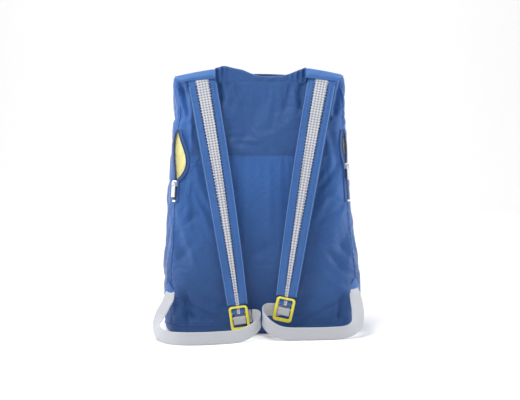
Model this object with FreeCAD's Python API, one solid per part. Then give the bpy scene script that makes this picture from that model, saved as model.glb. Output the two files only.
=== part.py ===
"""Packable ski daypack: a thin cloth bag with two tapered shoulder straps.

Millimetres. +Z is up, +X runs across the bag and the harness side faces -Y.
The origin is the centre of the flat base. "left" is -X and "right" is +X.
"""
import FreeCAD, Part
import math
import os

from FreeCAD import Vector

os.makedirs("parts", exist_ok=True)

# ---- bag body -------------------------------------------------------------
CLOTH = 2.0                 # one panel with its lining and seam allowance
BASE_EDGE = 14.0            # height of the rounded edge round the base
BAG_TOP = 404.0             # flat top, under the shoulder yokes
POCKET_SEAM = 280.0         # level seam where the doubled upper back ends
# (height, middle x, half width, harness face, far face, corner radius)
# The slack bag leans a little to the left as it stands.
SECTIONS = [
    (0.0, 0.0, 147.0, -61.0, 63.0, 30.0),
    (BASE_EDGE, 0.0, 155.0, -70.0, 72.0, 36.0),
    (90.0, 0.0, 154.0, -70.0, 74.0, 36.0),
    (200.0, -3.5, 145.0, -57.0, 66.0, 34.0),
    (330.0, -4.0, 137.0, -42.0, 50.0, 31.0),
    (BAG_TOP, -4.5, 131.5, -30.0, 34.0, 26.0),
]

# ---- shoulders and neck ---------------------------------------------------
NECK_MIDDLE = -2.0
NECK_HALF = 72.0            # half width of the neck, between the two yokes
NECK_PEAK = 421.0           # top of the neck hem beside the yokes
NECK_DIP = 407.0            # lowest point of the neck hem
YOKE_OUTER = {"left": 136.0, "right": 127.0}
YOKE_INNER_TOP = {"left": 416.5, "right": 418.0}
YOKE_OUTER_TOP = {"left": 405.0, "right": 407.5}    # at the shoulder's outer corner
YOKE_BAND = 14.0            # visible height of the folded yoke band
YOKE_FACE = -36.5           # front of the folded band
YOKE_REACH = -12.0          # where the yoke ends on the top, harness side of the zip

# ---- shoulder straps ------------------------------------------------------
STRAP_THICK = 3.0
STRIPE_THICK = 0.8
STITCH_GAP = 0.1            # between two layers that are only stitched together
STRAP_TOP = Vector(94.0, -36.0, 397.0)
STRAP_END_X = 38.0
STRAP_END_Y = -88.0
STRAP_END_Z = {"left": 51.0, "right": 64.5}
STRAP_BOW = {"left": 16.0, "right": 22.0}
STRAP_PINCH = 2.5           # how far the middle of a strap lies inward of its chord
STRAP_WIDTHS = (43.0, 39.0, 31.0)
STRIPE_WIDTHS = (22.0, 14.0, 5.0)

# ---- ladder-lock buckles --------------------------------------------------
# Heights are from the loop bar, which the strap's stitched end turns round.
BAR_DROP = 13.0             # from the end of the strap to the loop bar
BAR_FORWARD = 2.2           # the loop bar lies in front of the strap's middle surface
BUCKLE_LEAN = {"left": 8.0, "right": 12.0}      # degrees, bottom toward the middle
BUCKLE_WIDTH = 30.0
BUCKLE_ABOVE = 11.2
BUCKLE_BELOW = 28.0
BUCKLE_FRONT = -3.0         # faces of the frame
BUCKLE_BACK = 1.0
BUCKLE_CORNER = 5.0
WINDOW_WIDTH = 21.0
TOP_BAR = 3.2               # height of the frame's bar in front of the strap
TOP_BAR_BACK = -0.2
LOOP_BAR = 1.4              # radii of the two round bars
CENTRE_BAR = 1.5
CENTRE_BAR_DROP = 8.0
BOTTOM_BAR = 6.0
LOOP_BORE = 1.6
LOOP_RADIUS = 2.9
LOOP_WIDTH = 19.0
TONGUE_THICK = 1.2
FOLD_RADIUS = 3.1
FOLD_TAIL = 11.0            # behind the buckle
FOLD_FACE = 9.0             # in front of it

# ---- webbing and corner tabs ---------------------------------------------
WEBBING_WIDTH = 20.0
WEBBING_THICK = 1.5
TAB_HALF = 12.0
TAB_HEIGHT = 21.0
TAB_THICK = 2.5
TAB_X = {"left": -144.0, "right": 144.0}
TAB_Z = {"left": 60.0, "right": 66.0}

# ---- zips -----------------------------------------------------------------
TAPE_THICK = 0.8
TAPE_WIDTH = 7.0            # tape beside the teeth
COIL_WIDTH = 2.0
COIL_HEIGHT = 1.4
STOP_LENGTH = 3.0
MAIN_ZIP_START = -102.0
MAIN_ZIP_Y = 8.5            # the zip lies behind the middle of the flat top
MAIN_MOUTH = 165.0          # open length of the main zip
MAIN_MOUTH_HALF = 12.0
MAIN_TAIL = 39.0            # closed length of the main zip
SIDE_ZIP_ANGLE = {"left": 48.0, "right": 34.0}  # degrees round the corner from the side
SIDE_ZIP_TOP = 321.0
SIDE_ZIP_BOTTOM = 208.0
SIDE_MOUTH = {"left": 80.0, "right": 53.0}
SIDE_MOUTH_HALF = {"left": 15.0, "right": 4.0}

# ---- side pockets ---------------------------------------------------------
LINING = 1.2
LINING_MIDDLE = -4.0        # middle plane of the leaning bag at the pockets
LINING_INNER = 115.0        # from there to the inner wall of a side pocket
LINING_BACK = 26.0
LINING_LOW = 196.0
LINING_HIGH = 328.0

SIDES = {"left": -1.0, "right": 1.0}


def save(node, shape):
    """Write one sub-part."""
    shape.exportStep("parts/" + node + ".step")


def box(x0, x1, y0, y1, z0, z1):
    return Part.makeBox(x1 - x0, y1 - y0, z1 - z0, Vector(x0, y0, z0))


def upright_prism(outline, y0, y1):
    """A polygon of (x, z) points, extruded from y0 to y1."""
    points = [Vector(x, y0, z) for x, z in outline]
    face = Part.Face(Part.makePolygon(points + points[:1]))
    return face.extrude(Vector(0, y1 - y0, 0))


def placed(shape, origin, x_axis, z_axis):
    """A shape moved from its own frame to one with the given axes."""
    x_axis = Vector(x_axis).normalize()
    y_axis = z_axis.cross(x_axis).normalize()
    z_axis = x_axis.cross(y_axis).normalize()
    matrix = FreeCAD.Matrix(
        x_axis.x, y_axis.x, z_axis.x, origin.x,
        x_axis.y, y_axis.y, z_axis.y, origin.y,
        x_axis.z, y_axis.z, z_axis.z, origin.z,
        0, 0, 0, 1,
    )
    moved = shape.copy()
    moved.Placement = FreeCAD.Placement(matrix).multiply(moved.Placement)
    return moved


# ---- bag body -------------------------------------------------------------
def section_at(height):
    """The bag's (middle x, half width, harness face, far face, corner radius) at a height."""
    for low, high in zip(SECTIONS, SECTIONS[1:]):
        if height <= high[0]:
            part = (height - low[0]) / (high[0] - low[0])
            return [a + (b - a) * part for a, b in zip(low[1:], high[1:])]
    return SECTIONS[-1][1:]


def section_wire(height, outset):
    """A rounded rectangle round the bag, moved outward by outset."""
    lean, half, back, far, radius = section_at(height)
    half, back, far, radius = half + outset, back - outset, far + outset, radius + outset
    corners = [(half, back, -45), (half, far, 45), (-half, far, 135), (-half, back, 225)]
    arcs = []
    for x, y, middle in corners:
        centre = Vector(x - math.copysign(radius, x), y - math.copysign(radius, y), height)
        centre.x += lean
        spokes = [math.radians(middle + turn) for turn in (-45, 0, 45)]
        rim = [centre + Vector(math.cos(a), math.sin(a), 0) * radius for a in spokes]
        arcs.append(rim)
    edges = []
    for rim, after in zip(arcs, arcs[1:] + arcs[:1]):
        edges.append(Part.Arc(*rim).toShape())
        edges.append(Part.makeLine(rim[2], after[0]))
    return Part.Wire(edges)


def bag_solid(outset, bottom, top):
    """The bag's outer shape between two heights, moved outward by outset."""
    between = [row[0] for row in SECTIONS if bottom < row[0] < top]
    heights = [bottom] + between + [top]
    return Part.makeLoft([section_wire(z, outset) for z in heights], True, True)


def seam_region(y0, y1, z0, z1):
    """The slab between the two upright side seams, which follow the corners."""
    between = [row[0] for row in SECTIONS if z0 < row[0] < z1]
    heights = [z0] + between + [z1]
    right, left = [], []
    for z in heights:
        lean, half, _, _, radius = section_at(z)
        right.append((lean + half - radius, z))
        left.append((lean - half + radius, z))
    return upright_prism(right + left[::-1], y0, y1)


CAVITY = bag_solid(-CLOTH, CLOTH, BAG_TOP - CLOTH)
SHELL = bag_solid(0, 0, BAG_TOP).cut(CAVITY)
ROOF = BAG_TOP - CLOTH


def bag_panels():
    """The cloth panels round the bag, before the zips are let into them."""
    panels = {
        "back_panel_lower": seam_region(-100, 0, BASE_EDGE, POCKET_SEAM),
        "back_panel_upper": seam_region(-100, 0, POCKET_SEAM, ROOF),
        "front_panel": seam_region(0, 100, BASE_EDGE, ROOF),
        "bottom_panel": box(-200, 200, -100, 100, 0, BASE_EDGE),
        "top_gusset": box(-200, 200, -100, 100, ROOF, BAG_TOP),
    }
    panels = {node: SHELL.common(region) for node, region in panels.items()}
    middle = seam_region(-100, 100, BASE_EDGE, ROOF)
    for side, sign in SIDES.items():
        half = box(min(0, sign * 200), max(0, sign * 200), -100, 100, BASE_EDGE, ROOF)
        panels["side_panel_" + side] = SHELL.common(half.cut(middle))
    return panels


def stow_pocket():
    """The second layer of cloth inside the upper back, which makes a flat pocket."""
    layer = CAVITY.cut(bag_solid(-CLOTH - 1.5, CLOTH, ROOF))
    return layer.common(seam_region(-100, 0, POCKET_SEAM, ROOF - 4))


def neck_hem():
    """The hem that rises from the top's harness edge and dips between the yokes."""
    left = Vector(-NECK_HALF + 0.3, 0, NECK_PEAK - 1)
    right = Vector(NECK_HALF - 0.3, 0, NECK_PEAK - 1)
    curve = Part.Arc(left, Vector(0, 0, NECK_DIP), right).toShape()
    low_left = Vector(left.x, 0, BAG_TOP)
    low_right = Vector(right.x, 0, BAG_TOP)
    edges = [
        curve,
        Part.makeLine(right, low_right),
        Part.makeLine(low_right, low_left),
        Part.makeLine(low_left, left),
    ]
    face = Part.Face(Part.Wire(edges))
    face.translate(Vector(NECK_MIDDLE, -29, 0))
    return face.extrude(Vector(0, 4, 0))


def shoulder_yoke(side):
    """A folded wedge over the shoulder, with a band turned down over the strap."""
    inner = NECK_MIDDLE + SIDES[side] * NECK_HALF
    outer = SIDES[side] * YOKE_OUTER[side]
    high, low = YOKE_INNER_TOP[side], YOKE_OUTER_TOP[side]
    wedge = [(inner, BAG_TOP), (inner, high), (outer, low), (outer, BAG_TOP)]
    band = [(inner, high - YOKE_BAND), (inner, high), (outer, low), (outer, low - YOKE_BAND)]
    turned_down = upright_prism(band, YOKE_FACE, -33.0)
    return upright_prism(wedge, -33.0, YOKE_REACH).fuse(turned_down).removeSplitter()


# ---- ribbons: straps, stripes and webbing ----------------------------------
def ribbon(centres, acrosses, widths, thick):
    """A flat band lofted through one rectangle at each centre."""
    wires = []
    last = len(centres) - 1
    for n, (centre, across, width) in enumerate(zip(centres, acrosses, widths)):
        tangent = (centres[min(n + 1, last)] - centres[max(n - 1, 0)]).normalize()
        side = (across - tangent * across.dot(tangent)).normalize() * (width / 2)
        face = tangent.cross(side).normalize() * (thick / 2)
        corners = [centre + side + face, centre - side + face]
        corners += [centre - side - face, centre + side - face]
        wires.append(Part.makePolygon(corners + corners[:1]))
    solid = Part.makeLoft(wires, True, True)
    return solid if solid.Volume > 0 else solid.reversed()


def through(values, t):
    """A quadratic through three values at t = 0, 0.5 and 1."""
    first, middle, last = values
    return first + (4 * middle - 3 * first - last) * t + 2 * (first - 2 * middle + last) * t * t


def strap_point(side, t):
    """The strap's centreline from the yoke (t = 0) to the buckle (t = 1)."""
    swell = 4 * t * (1 - t)
    x = STRAP_TOP.x + (STRAP_END_X - STRAP_TOP.x) * t - STRAP_PINCH * swell
    y = STRAP_TOP.y + (STRAP_END_Y - STRAP_TOP.y) * t - STRAP_BOW[side] * swell
    z = STRAP_TOP.z + (STRAP_END_Z[side] - STRAP_TOP.z) * t
    return Vector(SIDES[side] * x, y, z)


def strap_axes(side, t):
    """(tangent, across, outward) of the strap; outward points away from the bag."""
    step = 1e-3
    tangent = (strap_point(side, t + step) - strap_point(side, t - step)).normalize()
    across = Vector(1, 0, 0)
    across = (across - tangent * across.dot(tangent)).normalize()
    return tangent, across, across.cross(tangent).normalize() * -1


STATIONS = [n / 8 for n in range(9)]


def strap_band(side, widths, thick, lift):
    """A band along the strap, raised by lift from its middle surface."""
    centres = [strap_point(side, t) + strap_axes(side, t)[2] * lift for t in STATIONS]
    acrosses = [strap_axes(side, t)[1] for t in STATIONS]
    return ribbon(centres, acrosses, [through(widths, t) for t in STATIONS], thick)


def shoulder_strap(side):
    return strap_band(side, STRAP_WIDTHS, STRAP_THICK, 0)


def mesh_stripe(side):
    lift = (STRAP_THICK + STRIPE_THICK) / 2 + STITCH_GAP
    return strap_band(side, STRIPE_WIDTHS, STRIPE_THICK, lift)


# ---- buckles ----------------------------------------------------------------
def bar_axis(side):
    """The direction of the buckle's bars, which lean with the hanging strap."""
    lean = math.radians(BUCKLE_LEAN[side])
    return Vector(math.cos(lean), 0, -SIDES[side] * math.sin(lean))


def bar_centre(side):
    """The middle of the loop bar, in line with the strap but a little in front."""
    tangent = strap_axes(side, 1)[0]
    return strap_point(side, 1) + tangent * BAR_DROP + Vector(0, -BAR_FORWARD, 0)


def hang(shape, side):
    """Place a shape whose own frame is at the loop bar: x along it, z up, +y inward."""
    along = bar_axis(side)
    upward = strap_axes(side, 1)[0] * -1
    upward = upward - along * upward.dot(along)
    return placed(shape, bar_centre(side), along, upward.normalize())


def rod(radius, length, z):
    return Part.makeCylinder(radius, length, Vector(-length / 2, 0, z), Vector(1, 0, 0))


def ladder_lock():
    """A rectangular frame, open inside, with a round loop bar and a round centre bar."""
    frame = box(
        -BUCKLE_WIDTH / 2, BUCKLE_WIDTH / 2,
        BUCKLE_FRONT, BUCKLE_BACK,
        -BUCKLE_BELOW, BUCKLE_ABOVE,
    )
    upright = [e for e in frame.Edges if abs(e.tangentAt(e.FirstParameter).y) > 0.9]
    frame = frame.makeFillet(BUCKLE_CORNER, upright)
    half = WINDOW_WIDTH / 2
    top = BUCKLE_ABOVE - TOP_BAR
    frame = frame.cut(box(-half, half, -10, 10, -BUCKLE_BELOW + BOTTOM_BAR, top))
    frame = frame.cut(box(-half, half, TOP_BAR_BACK, 10, 0, BUCKLE_ABOVE + 1))
    reach = WINDOW_WIDTH + 4
    for radius, drop in ((LOOP_BAR, 0), (CENTRE_BAR, CENTRE_BAR_DROP)):
        bar = rod(radius, reach, -drop)
        frame = frame.fuse(bar)
    return frame.removeSplitter()


def strap_loop(side):
    """The stitched end of the strap, behind the top bar and round the loop bar."""
    tangent = strap_axes(side, 1)[0]
    start = strap_point(side, 1) + tangent * 0.4
    end = strap_point(side, 1) + tangent * (BAR_DROP - 0.3)
    tongue = ribbon([start, end], [bar_axis(side)] * 2, [LOOP_WIDTH] * 2, TONGUE_THICK)
    ring = hang(rod(LOOP_RADIUS, LOOP_WIDTH, 0), side)
    bore = hang(rod(LOOP_BORE, LOOP_WIDTH + 2, 0), side)
    return ring.cut(bore).fuse(tongue.cut(bore)).removeSplitter()


def webbing_fold():
    """The webbing over the centre bar: down behind the buckle and down its face."""
    half = LOOP_WIDTH / 2
    middle = -CENTRE_BAR_DROP
    ring = rod(FOLD_RADIUS, LOOP_WIDTH, middle)
    tail = box(-half, half, CENTRE_BAR + 0.1, FOLD_RADIUS, middle - FOLD_TAIL, middle)
    face = box(-half, half, -FOLD_RADIUS, -CENTRE_BAR - 0.1, middle - FOLD_FACE, middle)
    bore = rod(CENTRE_BAR + 0.02, LOOP_WIDTH + 2, middle)
    return ring.fuse(tail).fuse(face).cut(bore).removeSplitter()


# ---- lower webbing and corner tabs ------------------------------------------
ACROSS = Vector(1, 0, 0)
ON_EDGE = Vector(0, 0, 1)
FLOOR_Z = WEBBING_WIDTH / 2 + 0.4
TURN_RADIUS = 14.0          # of the flat turn behind the buckle
TURN_BEHIND = 8.5           # from the loop bar back to the webbing's turn
TURN_RISE = {"left": 16.0, "right": 12.0}   # the turn starts this far above the centre bar
WEBBING_ROUTES = {
    # points from beside the buckle to the corner tab, and which way the width lies
    "left": [
        (Vector(-9, -86, 33), ON_EDGE),
        (Vector(-3, -95, 31), ON_EDGE),
        (Vector(-4, -107, 26), ON_EDGE),
        (Vector(-14, -120, 18), ON_EDGE),
        (Vector(-34, -133, 11), ON_EDGE),
        (Vector(-72, -148, FLOOR_Z), ON_EDGE),
        (Vector(-118, -153, FLOOR_Z), ON_EDGE),
        (Vector(-148, -138, FLOOR_Z), ON_EDGE),
        (Vector(-162, -114, 16), Vector(0.3, 0, 1)),
        (Vector(-161, -96, 29), Vector(0.9, 0, 0.6)),
        (Vector(-154, -81, 44), Vector(1, 0, 0.3)),
        (Vector(-147, -70, 58), Vector(1, 0, 0.15)),
    ],
    "right": [
        (Vector(9, -86, 43), ON_EDGE),
        (Vector(2, -96, 40), ON_EDGE),
        (Vector(3, -108, 32), ON_EDGE),
        (Vector(14, -117, 20), ON_EDGE),
        (Vector(34, -119, 12), ON_EDGE),
        (Vector(68, -116, FLOOR_Z), ON_EDGE),
        (Vector(104, -112, FLOOR_Z), ON_EDGE),
        (Vector(132, -106, 12), ON_EDGE),
        (Vector(147, -97, 21), Vector(-0.6, 0, 1)),
        (Vector(150, -86, 38), Vector(-1, 0, 0.35)),
        (Vector(146, -71, 63), Vector(-1, 0, 0)),
    ],
}


def turn_behind_buckle(side):
    """The webbing's flat quarter turn, from down the buckle's back to sideways."""
    inward = -SIDES[side]
    bar = bar_centre(side)
    centre = bar + Vector(inward * TURN_RADIUS, TURN_BEHIND, TURN_RISE[side] - CENTRE_BAR_DROP)
    stations = []
    for degrees in (0, 30, 60, 90):
        angle = math.radians(degrees)
        spoke = Vector(-inward * math.cos(angle), 0, -math.sin(angle))
        stations.append((centre + spoke * TURN_RADIUS, spoke * inward))
    return stations


def lower_webbing(side):
    """The adjusting webbing, from behind the buckle round to the corner tab."""
    stations = turn_behind_buckle(side) + WEBBING_ROUTES[side]
    centres, acrosses = zip(*stations)
    widths = [WEBBING_WIDTH] * len(centres)
    return ribbon(list(centres), list(acrosses), widths, WEBBING_THICK)


def corner_tab(side):
    """A triangle of doubled cloth sewn into the corner seam above the webbing."""
    x, z = TAB_X[side], TAB_Z[side]
    outline = [(x - TAB_HALF, z), (x + TAB_HALF, z), (x, z + TAB_HEIGHT)]
    low, high = z - TAB_HEIGHT, z + 2 * TAB_HEIGHT
    layer = bag_solid(TAB_THICK, low, high).cut(bag_solid(0, low - 1, high + 1))
    return layer.common(upright_prism(outline, -80, -36))


# ---- zips ---------------------------------------------------------------------
def zip_outline(mouth, half_gap, tail, margin):
    """The outline of a zip, margin outside its teeth: a lens and a straight tail.

    x runs along the zip from the open end; z is square to the cloth.
    """
    start = Vector(-margin, 0, 0)
    end = Vector(mouth + margin, 0, 0)
    arcs = []
    for sign in (1, -1):
        arcs.append(Part.Arc(start, Vector(mouth / 2, sign * (half_gap + margin), 0), end))
    lens = Part.Face(Part.Wire([arc.toShape() for arc in arcs]))
    lens = lens.extrude(Vector(0, 0, 40))
    if margin > 0:
        lens = lens.fuse(box(mouth - 4, mouth + tail, -margin, margin, 0, 40))
    lens.translate(Vector(0, 0, -20))
    return lens


class Zip:
    """One zip: where it lies, how much of it is open, and the cloth it is let into."""

    def __init__(self, origin, along, outward, mouth, half_gap, tail, layer):
        self.axes = (origin, along, outward)
        self.mouth, self.half_gap, self.tail = mouth, half_gap, tail
        self.layer = layer

    def prism(self, margin):
        return placed(zip_outline(self.mouth, self.half_gap, self.tail, margin), *self.axes)

    def opening(self):
        """The gap between the teeth, which is also cut through the cloth."""
        return self.prism(0)

    def stringers(self):
        """The two halves, each a tape with its row of teeth: (+y half, -y half)."""
        tape = self.layer(0, TAPE_THICK).common(self.prism(TAPE_WIDTH))
        teeth = self.layer(TAPE_THICK, TAPE_THICK + COIL_HEIGHT).common(self.prism(COIL_WIDTH))
        both = tape.fuse(teeth).cut(self.opening())
        length = self.mouth + self.tail + 40
        halves = []
        for y0, y1 in ((0, 60), (-60, 0)):
            half = placed(box(-20, length, y0, y1, -30, 30), *self.axes)
            halves.append(both.common(half).removeSplitter())
        return halves

    def stop(self):
        """The metal stop clamped over both rows of teeth at the closed end."""
        height = TAPE_THICK + COIL_HEIGHT
        staple = box(0, STOP_LENGTH, -3, 3, TAPE_THICK + STITCH_GAP, height + 1.2)
        staple = staple.cut(box(-1, 4, -COIL_WIDTH, COIL_WIDTH, 0, height))
        staple.translate(Vector(self.mouth + self.tail - STOP_LENGTH, 0, 0))
        return placed(staple, *self.axes)

    def slider(self):
        return placed(moved_along(zip_slider(), self.mouth), *self.axes)

    def pull(self):
        return placed(moved_along(zip_pull(), self.mouth), *self.axes)


# A slider rides over the teeth; its own frame starts at its nose, on the cloth.
SLIDER_LENGTH = 9.0
SLIDER_WIDTH = 9.0
SLIDER_GAP = 0.35           # running clearance over the tape and teeth
SLIDER_FLOOR = TAPE_THICK + SLIDER_GAP
SLIDER_CEILING = TAPE_THICK + COIL_HEIGHT + SLIDER_GAP
SLIDER_TOP = SLIDER_CEILING + 1.2
LUG_WIDTH = 3.0
LUG_LENGTH = 5.0
LUG_HEIGHT = 3.6
PIN_HEIGHT = SLIDER_TOP + 1.9
PIN_RADIUS = 0.75
PULL_LENGTH = 22.0
PULL_HALF = 3.5
PULL_THICK = 1.4


def moved_along(shape, distance):
    shape.translate(Vector(distance, 0, 0))
    return shape


def zip_slider():
    """A channel over the teeth with a drilled lug on top."""
    half = SLIDER_WIDTH / 2
    body = box(0, SLIDER_LENGTH, -half, half, SLIDER_FLOOR, SLIDER_TOP)
    channel = COIL_WIDTH + SLIDER_GAP
    body = body.cut(box(-1, SLIDER_LENGTH + 1, -channel, channel, 0, SLIDER_CEILING))
    middle = SLIDER_LENGTH / 2
    lug = box(
        middle - LUG_LENGTH / 2, middle + LUG_LENGTH / 2,
        -LUG_WIDTH / 2, LUG_WIDTH / 2,
        SLIDER_TOP, SLIDER_TOP + LUG_HEIGHT,
    )
    hole = Part.makeCylinder(PIN_RADIUS + 0.1, 10, Vector(middle, -5, PIN_HEIGHT), Vector(0, 1, 0))
    return body.fuse(lug).cut(hole).removeSplitter()


def zip_pull():
    """A stirrup on the lug's pin and a flat tab, lying along the closed zip."""
    middle = SLIDER_LENGTH / 2
    inner = LUG_WIDTH / 2 + 0.4
    low, high = PIN_HEIGHT - PULL_THICK / 2, PIN_HEIGHT + PULL_THICK / 2
    pin = Part.makeCylinder(
        PIN_RADIUS, 2 * inner + 1, Vector(middle, -inner - 0.5, PIN_HEIGHT), Vector(0, 1, 0)
    )
    tab = box(middle - 1.1, middle + PULL_LENGTH, -PULL_HALF, PULL_HALF, low, high)
    eye = box(middle - 2, middle + 4.2, -inner, inner, low - 1, high + 1)
    return tab.cut(eye).fuse(pin).removeSplitter()


def flat_layer(low, high):
    """A layer of the flat top between two heights above the cloth."""
    return box(-200, 200, -100, 100, BAG_TOP + low, BAG_TOP + high)


def curved_layer(low, high):
    """A layer of the bag's rounded sides between two distances above the cloth."""
    bottom, top = SIDE_ZIP_BOTTOM - 20, SIDE_ZIP_TOP + 8
    outer = bag_solid(high, bottom, top)
    return outer.cut(bag_solid(low, bottom - 1, top + 1))


def main_zip():
    """The zip across the flat top, open for most of its length."""
    origin = Vector(MAIN_ZIP_START, MAIN_ZIP_Y, BAG_TOP)
    return Zip(
        origin, Vector(1, 0, 0), Vector(0, 0, 1),
        MAIN_MOUTH, MAIN_MOUTH_HALF, MAIN_TAIL, flat_layer,
    )


def corner_line_point(side, height):
    """A point on the rounded corner where a side zip runs."""
    lean, half, back, _, radius = section_at(height)
    angle = math.radians(SIDE_ZIP_ANGLE[side])
    x = half - radius + radius * math.cos(angle)
    y = back + radius - radius * math.sin(angle)
    return Vector(lean + SIDES[side] * x, y, height)


def side_zip(side):
    """A short upright zip on the corner between the harness face and the side."""
    top = corner_line_point(side, SIDE_ZIP_TOP)
    along = corner_line_point(side, SIDE_ZIP_BOTTOM) - top
    angle = math.radians(SIDE_ZIP_ANGLE[side])
    outward = Vector(SIDES[side] * math.cos(angle), -math.sin(angle), 0)
    tail = along.Length - SIDE_MOUTH[side]
    return Zip(
        top, along, outward,
        SIDE_MOUTH[side], SIDE_MOUTH_HALF[side], tail, curved_layer,
    )


def pocket_lining(sign):
    """The yellow pouch behind a side zip, open toward the side panel."""

    def room(margin):
        x0, x1 = LINING_MIDDLE + sign * (LINING_INNER + margin), sign * 200
        y1 = LINING_BACK - margin
        low, high = LINING_LOW + margin, LINING_HIGH - margin
        return CAVITY.common(box(min(x0, x1), max(x0, x1), -100, y1, low, high))

    return room(0).cut(room(LINING))


def build():
    panels = bag_panels()
    main = main_zip()
    zips = {side: side_zip(side) for side in SIDES}
    panels["top_gusset"] = panels["top_gusset"].cut(main.opening())
    for side in SIDES:
        panel = "side_panel_" + side
        panels[panel] = panels[panel].cut(zips[side].opening())
    for node, shape in panels.items():
        save(node, shape)
    save("stow_pocket", stow_pocket())
    save("neck_hem", neck_hem())
    for node, shape in zip(("main_zip_stringer_front", "main_zip_stringer_rear"), main.stringers()):
        save(node, shape)
    save("main_zip_stop", main.stop())
    save("main_zip_slider", main.slider())
    save("main_zip_pull", main.pull())
    for side, sign in SIDES.items():
        for node, shape in zip(("inner", "outer"), zips[side].stringers()):
            save("side_zip_stringer_" + node + "_" + side, shape)
        save("side_zip_stop_" + side, zips[side].stop())
        save("side_zip_slider_" + side, zips[side].slider())
        save("side_zip_pull_" + side, zips[side].pull())
        save("pocket_lining_" + side, pocket_lining(sign))
        save("shoulder_yoke_" + side, shoulder_yoke(side))
        save("shoulder_strap_" + side, shoulder_strap(side))
        save("mesh_stripe_" + side, mesh_stripe(side))
        save("strap_loop_" + side, strap_loop(side))
        save("ladder_lock_" + side, hang(ladder_lock(), side))
        save("webbing_fold_" + side, hang(webbing_fold(), side))
        save("lower_webbing_" + side, lower_webbing(side))
        save("corner_tab_" + side, corner_tab(side))


build()
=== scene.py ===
"""Looks of the packable ski daypack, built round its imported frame.

Metres, in the row's frame: +Z up, the harness side faces -Y, "left" is -X.
"""

import math

import bmesh
import bpy
import numpy as np
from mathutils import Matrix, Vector, noise


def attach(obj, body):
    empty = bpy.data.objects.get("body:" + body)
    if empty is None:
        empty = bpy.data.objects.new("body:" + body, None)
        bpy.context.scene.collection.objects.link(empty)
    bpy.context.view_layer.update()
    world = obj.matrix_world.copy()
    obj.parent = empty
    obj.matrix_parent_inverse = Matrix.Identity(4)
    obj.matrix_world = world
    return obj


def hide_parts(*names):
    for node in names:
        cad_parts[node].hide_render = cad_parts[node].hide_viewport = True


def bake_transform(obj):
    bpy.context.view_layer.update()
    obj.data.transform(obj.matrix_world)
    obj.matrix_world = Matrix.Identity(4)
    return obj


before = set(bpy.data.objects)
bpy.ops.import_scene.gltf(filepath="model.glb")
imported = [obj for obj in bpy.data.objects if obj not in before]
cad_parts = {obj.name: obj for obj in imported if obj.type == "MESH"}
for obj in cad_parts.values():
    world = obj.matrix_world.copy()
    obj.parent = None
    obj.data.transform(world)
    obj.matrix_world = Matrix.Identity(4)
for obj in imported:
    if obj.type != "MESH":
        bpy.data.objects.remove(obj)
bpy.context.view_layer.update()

SIDES = {"left": -1.0, "right": 1.0}

# ---- driving sizes, as the frame has them ------------------------------------
# (height, middle x, half width, harness face, far face, corner radius) of the bag
SECTIONS = np.array([
    (0.014, 0.0000, 0.1550, -0.0700, 0.0720, 0.0360),
    (0.090, 0.0000, 0.1540, -0.0700, 0.0740, 0.0360),
    (0.200, -0.0035, 0.1450, -0.0570, 0.0660, 0.0340),
    (0.330, -0.0040, 0.1370, -0.0420, 0.0500, 0.0310),
    (0.404, -0.0045, 0.1315, -0.0300, 0.0340, 0.0260),
])
BAG_TOP = 0.404
BASE_EDGE = 0.014
BASE_INSET = 0.008
POCKET_SEAM = 0.280

NECK_MIDDLE = -0.002
NECK_HALF = 0.072
YOKE_OUTER = {"left": 0.136, "right": 0.127}
YOKE_INNER_TOP = {"left": 0.4165, "right": 0.4180}
YOKE_OUTER_TOP = {"left": 0.4050, "right": 0.4075}
YOKE_BAND = 0.014
YOKE_FACE = -0.0365

STRAP_TOP = np.array([0.094, -0.036, 0.397])
STRAP_END = {"left": np.array([0.038, -0.088, 0.051]), "right": np.array([0.038, -0.088, 0.0645])}
STRAP_BOW = {"left": 0.016, "right": 0.022}
STRAP_PINCH = 0.0025
STRAP_WIDTHS = (0.043, 0.039, 0.031)
STRAP_THICK = 0.003
STRIPE_WIDTHS = (0.0212, 0.0138, 0.005)
STRIPE_TOOTH = 0.0050           # from one tooth of the stripe's serrated edge to the next

BAR_DROP = 0.013
BAR_FORWARD = 0.0022
BUCKLE_LEAN = {"left": 8.0, "right": 12.0}
BUCKLE_ABOVE = 0.0112
BUCKLE_BELOW = 0.028
CENTRE_BAR_DROP = 0.008
LOOP_WIDTH = 0.019
WEBBING_WIDTH = 0.020
WEBBING_THICK = 0.0013

ZIP_ANGLE = {"left": math.radians(48), "right": math.radians(34)}
SIDE_ZIP_TOP = 0.321
SIDE_ZIP_BOTTOM = 0.208
ZIP_DROP = 0.993                # how far a leaning side zip comes down for each unit of its length
SIDE_MOUTH = {"left": 0.080, "right": 0.053}
SIDE_MOUTH_HALF = {"left": 0.015, "right": 0.004}
MAIN_ZIP_START = -0.102
MAIN_ZIP_Y = 0.0085
MAIN_MOUTH = 0.165
MAIN_MOUTH_HALF = 0.012
MAIN_TAIL = 0.039


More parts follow.
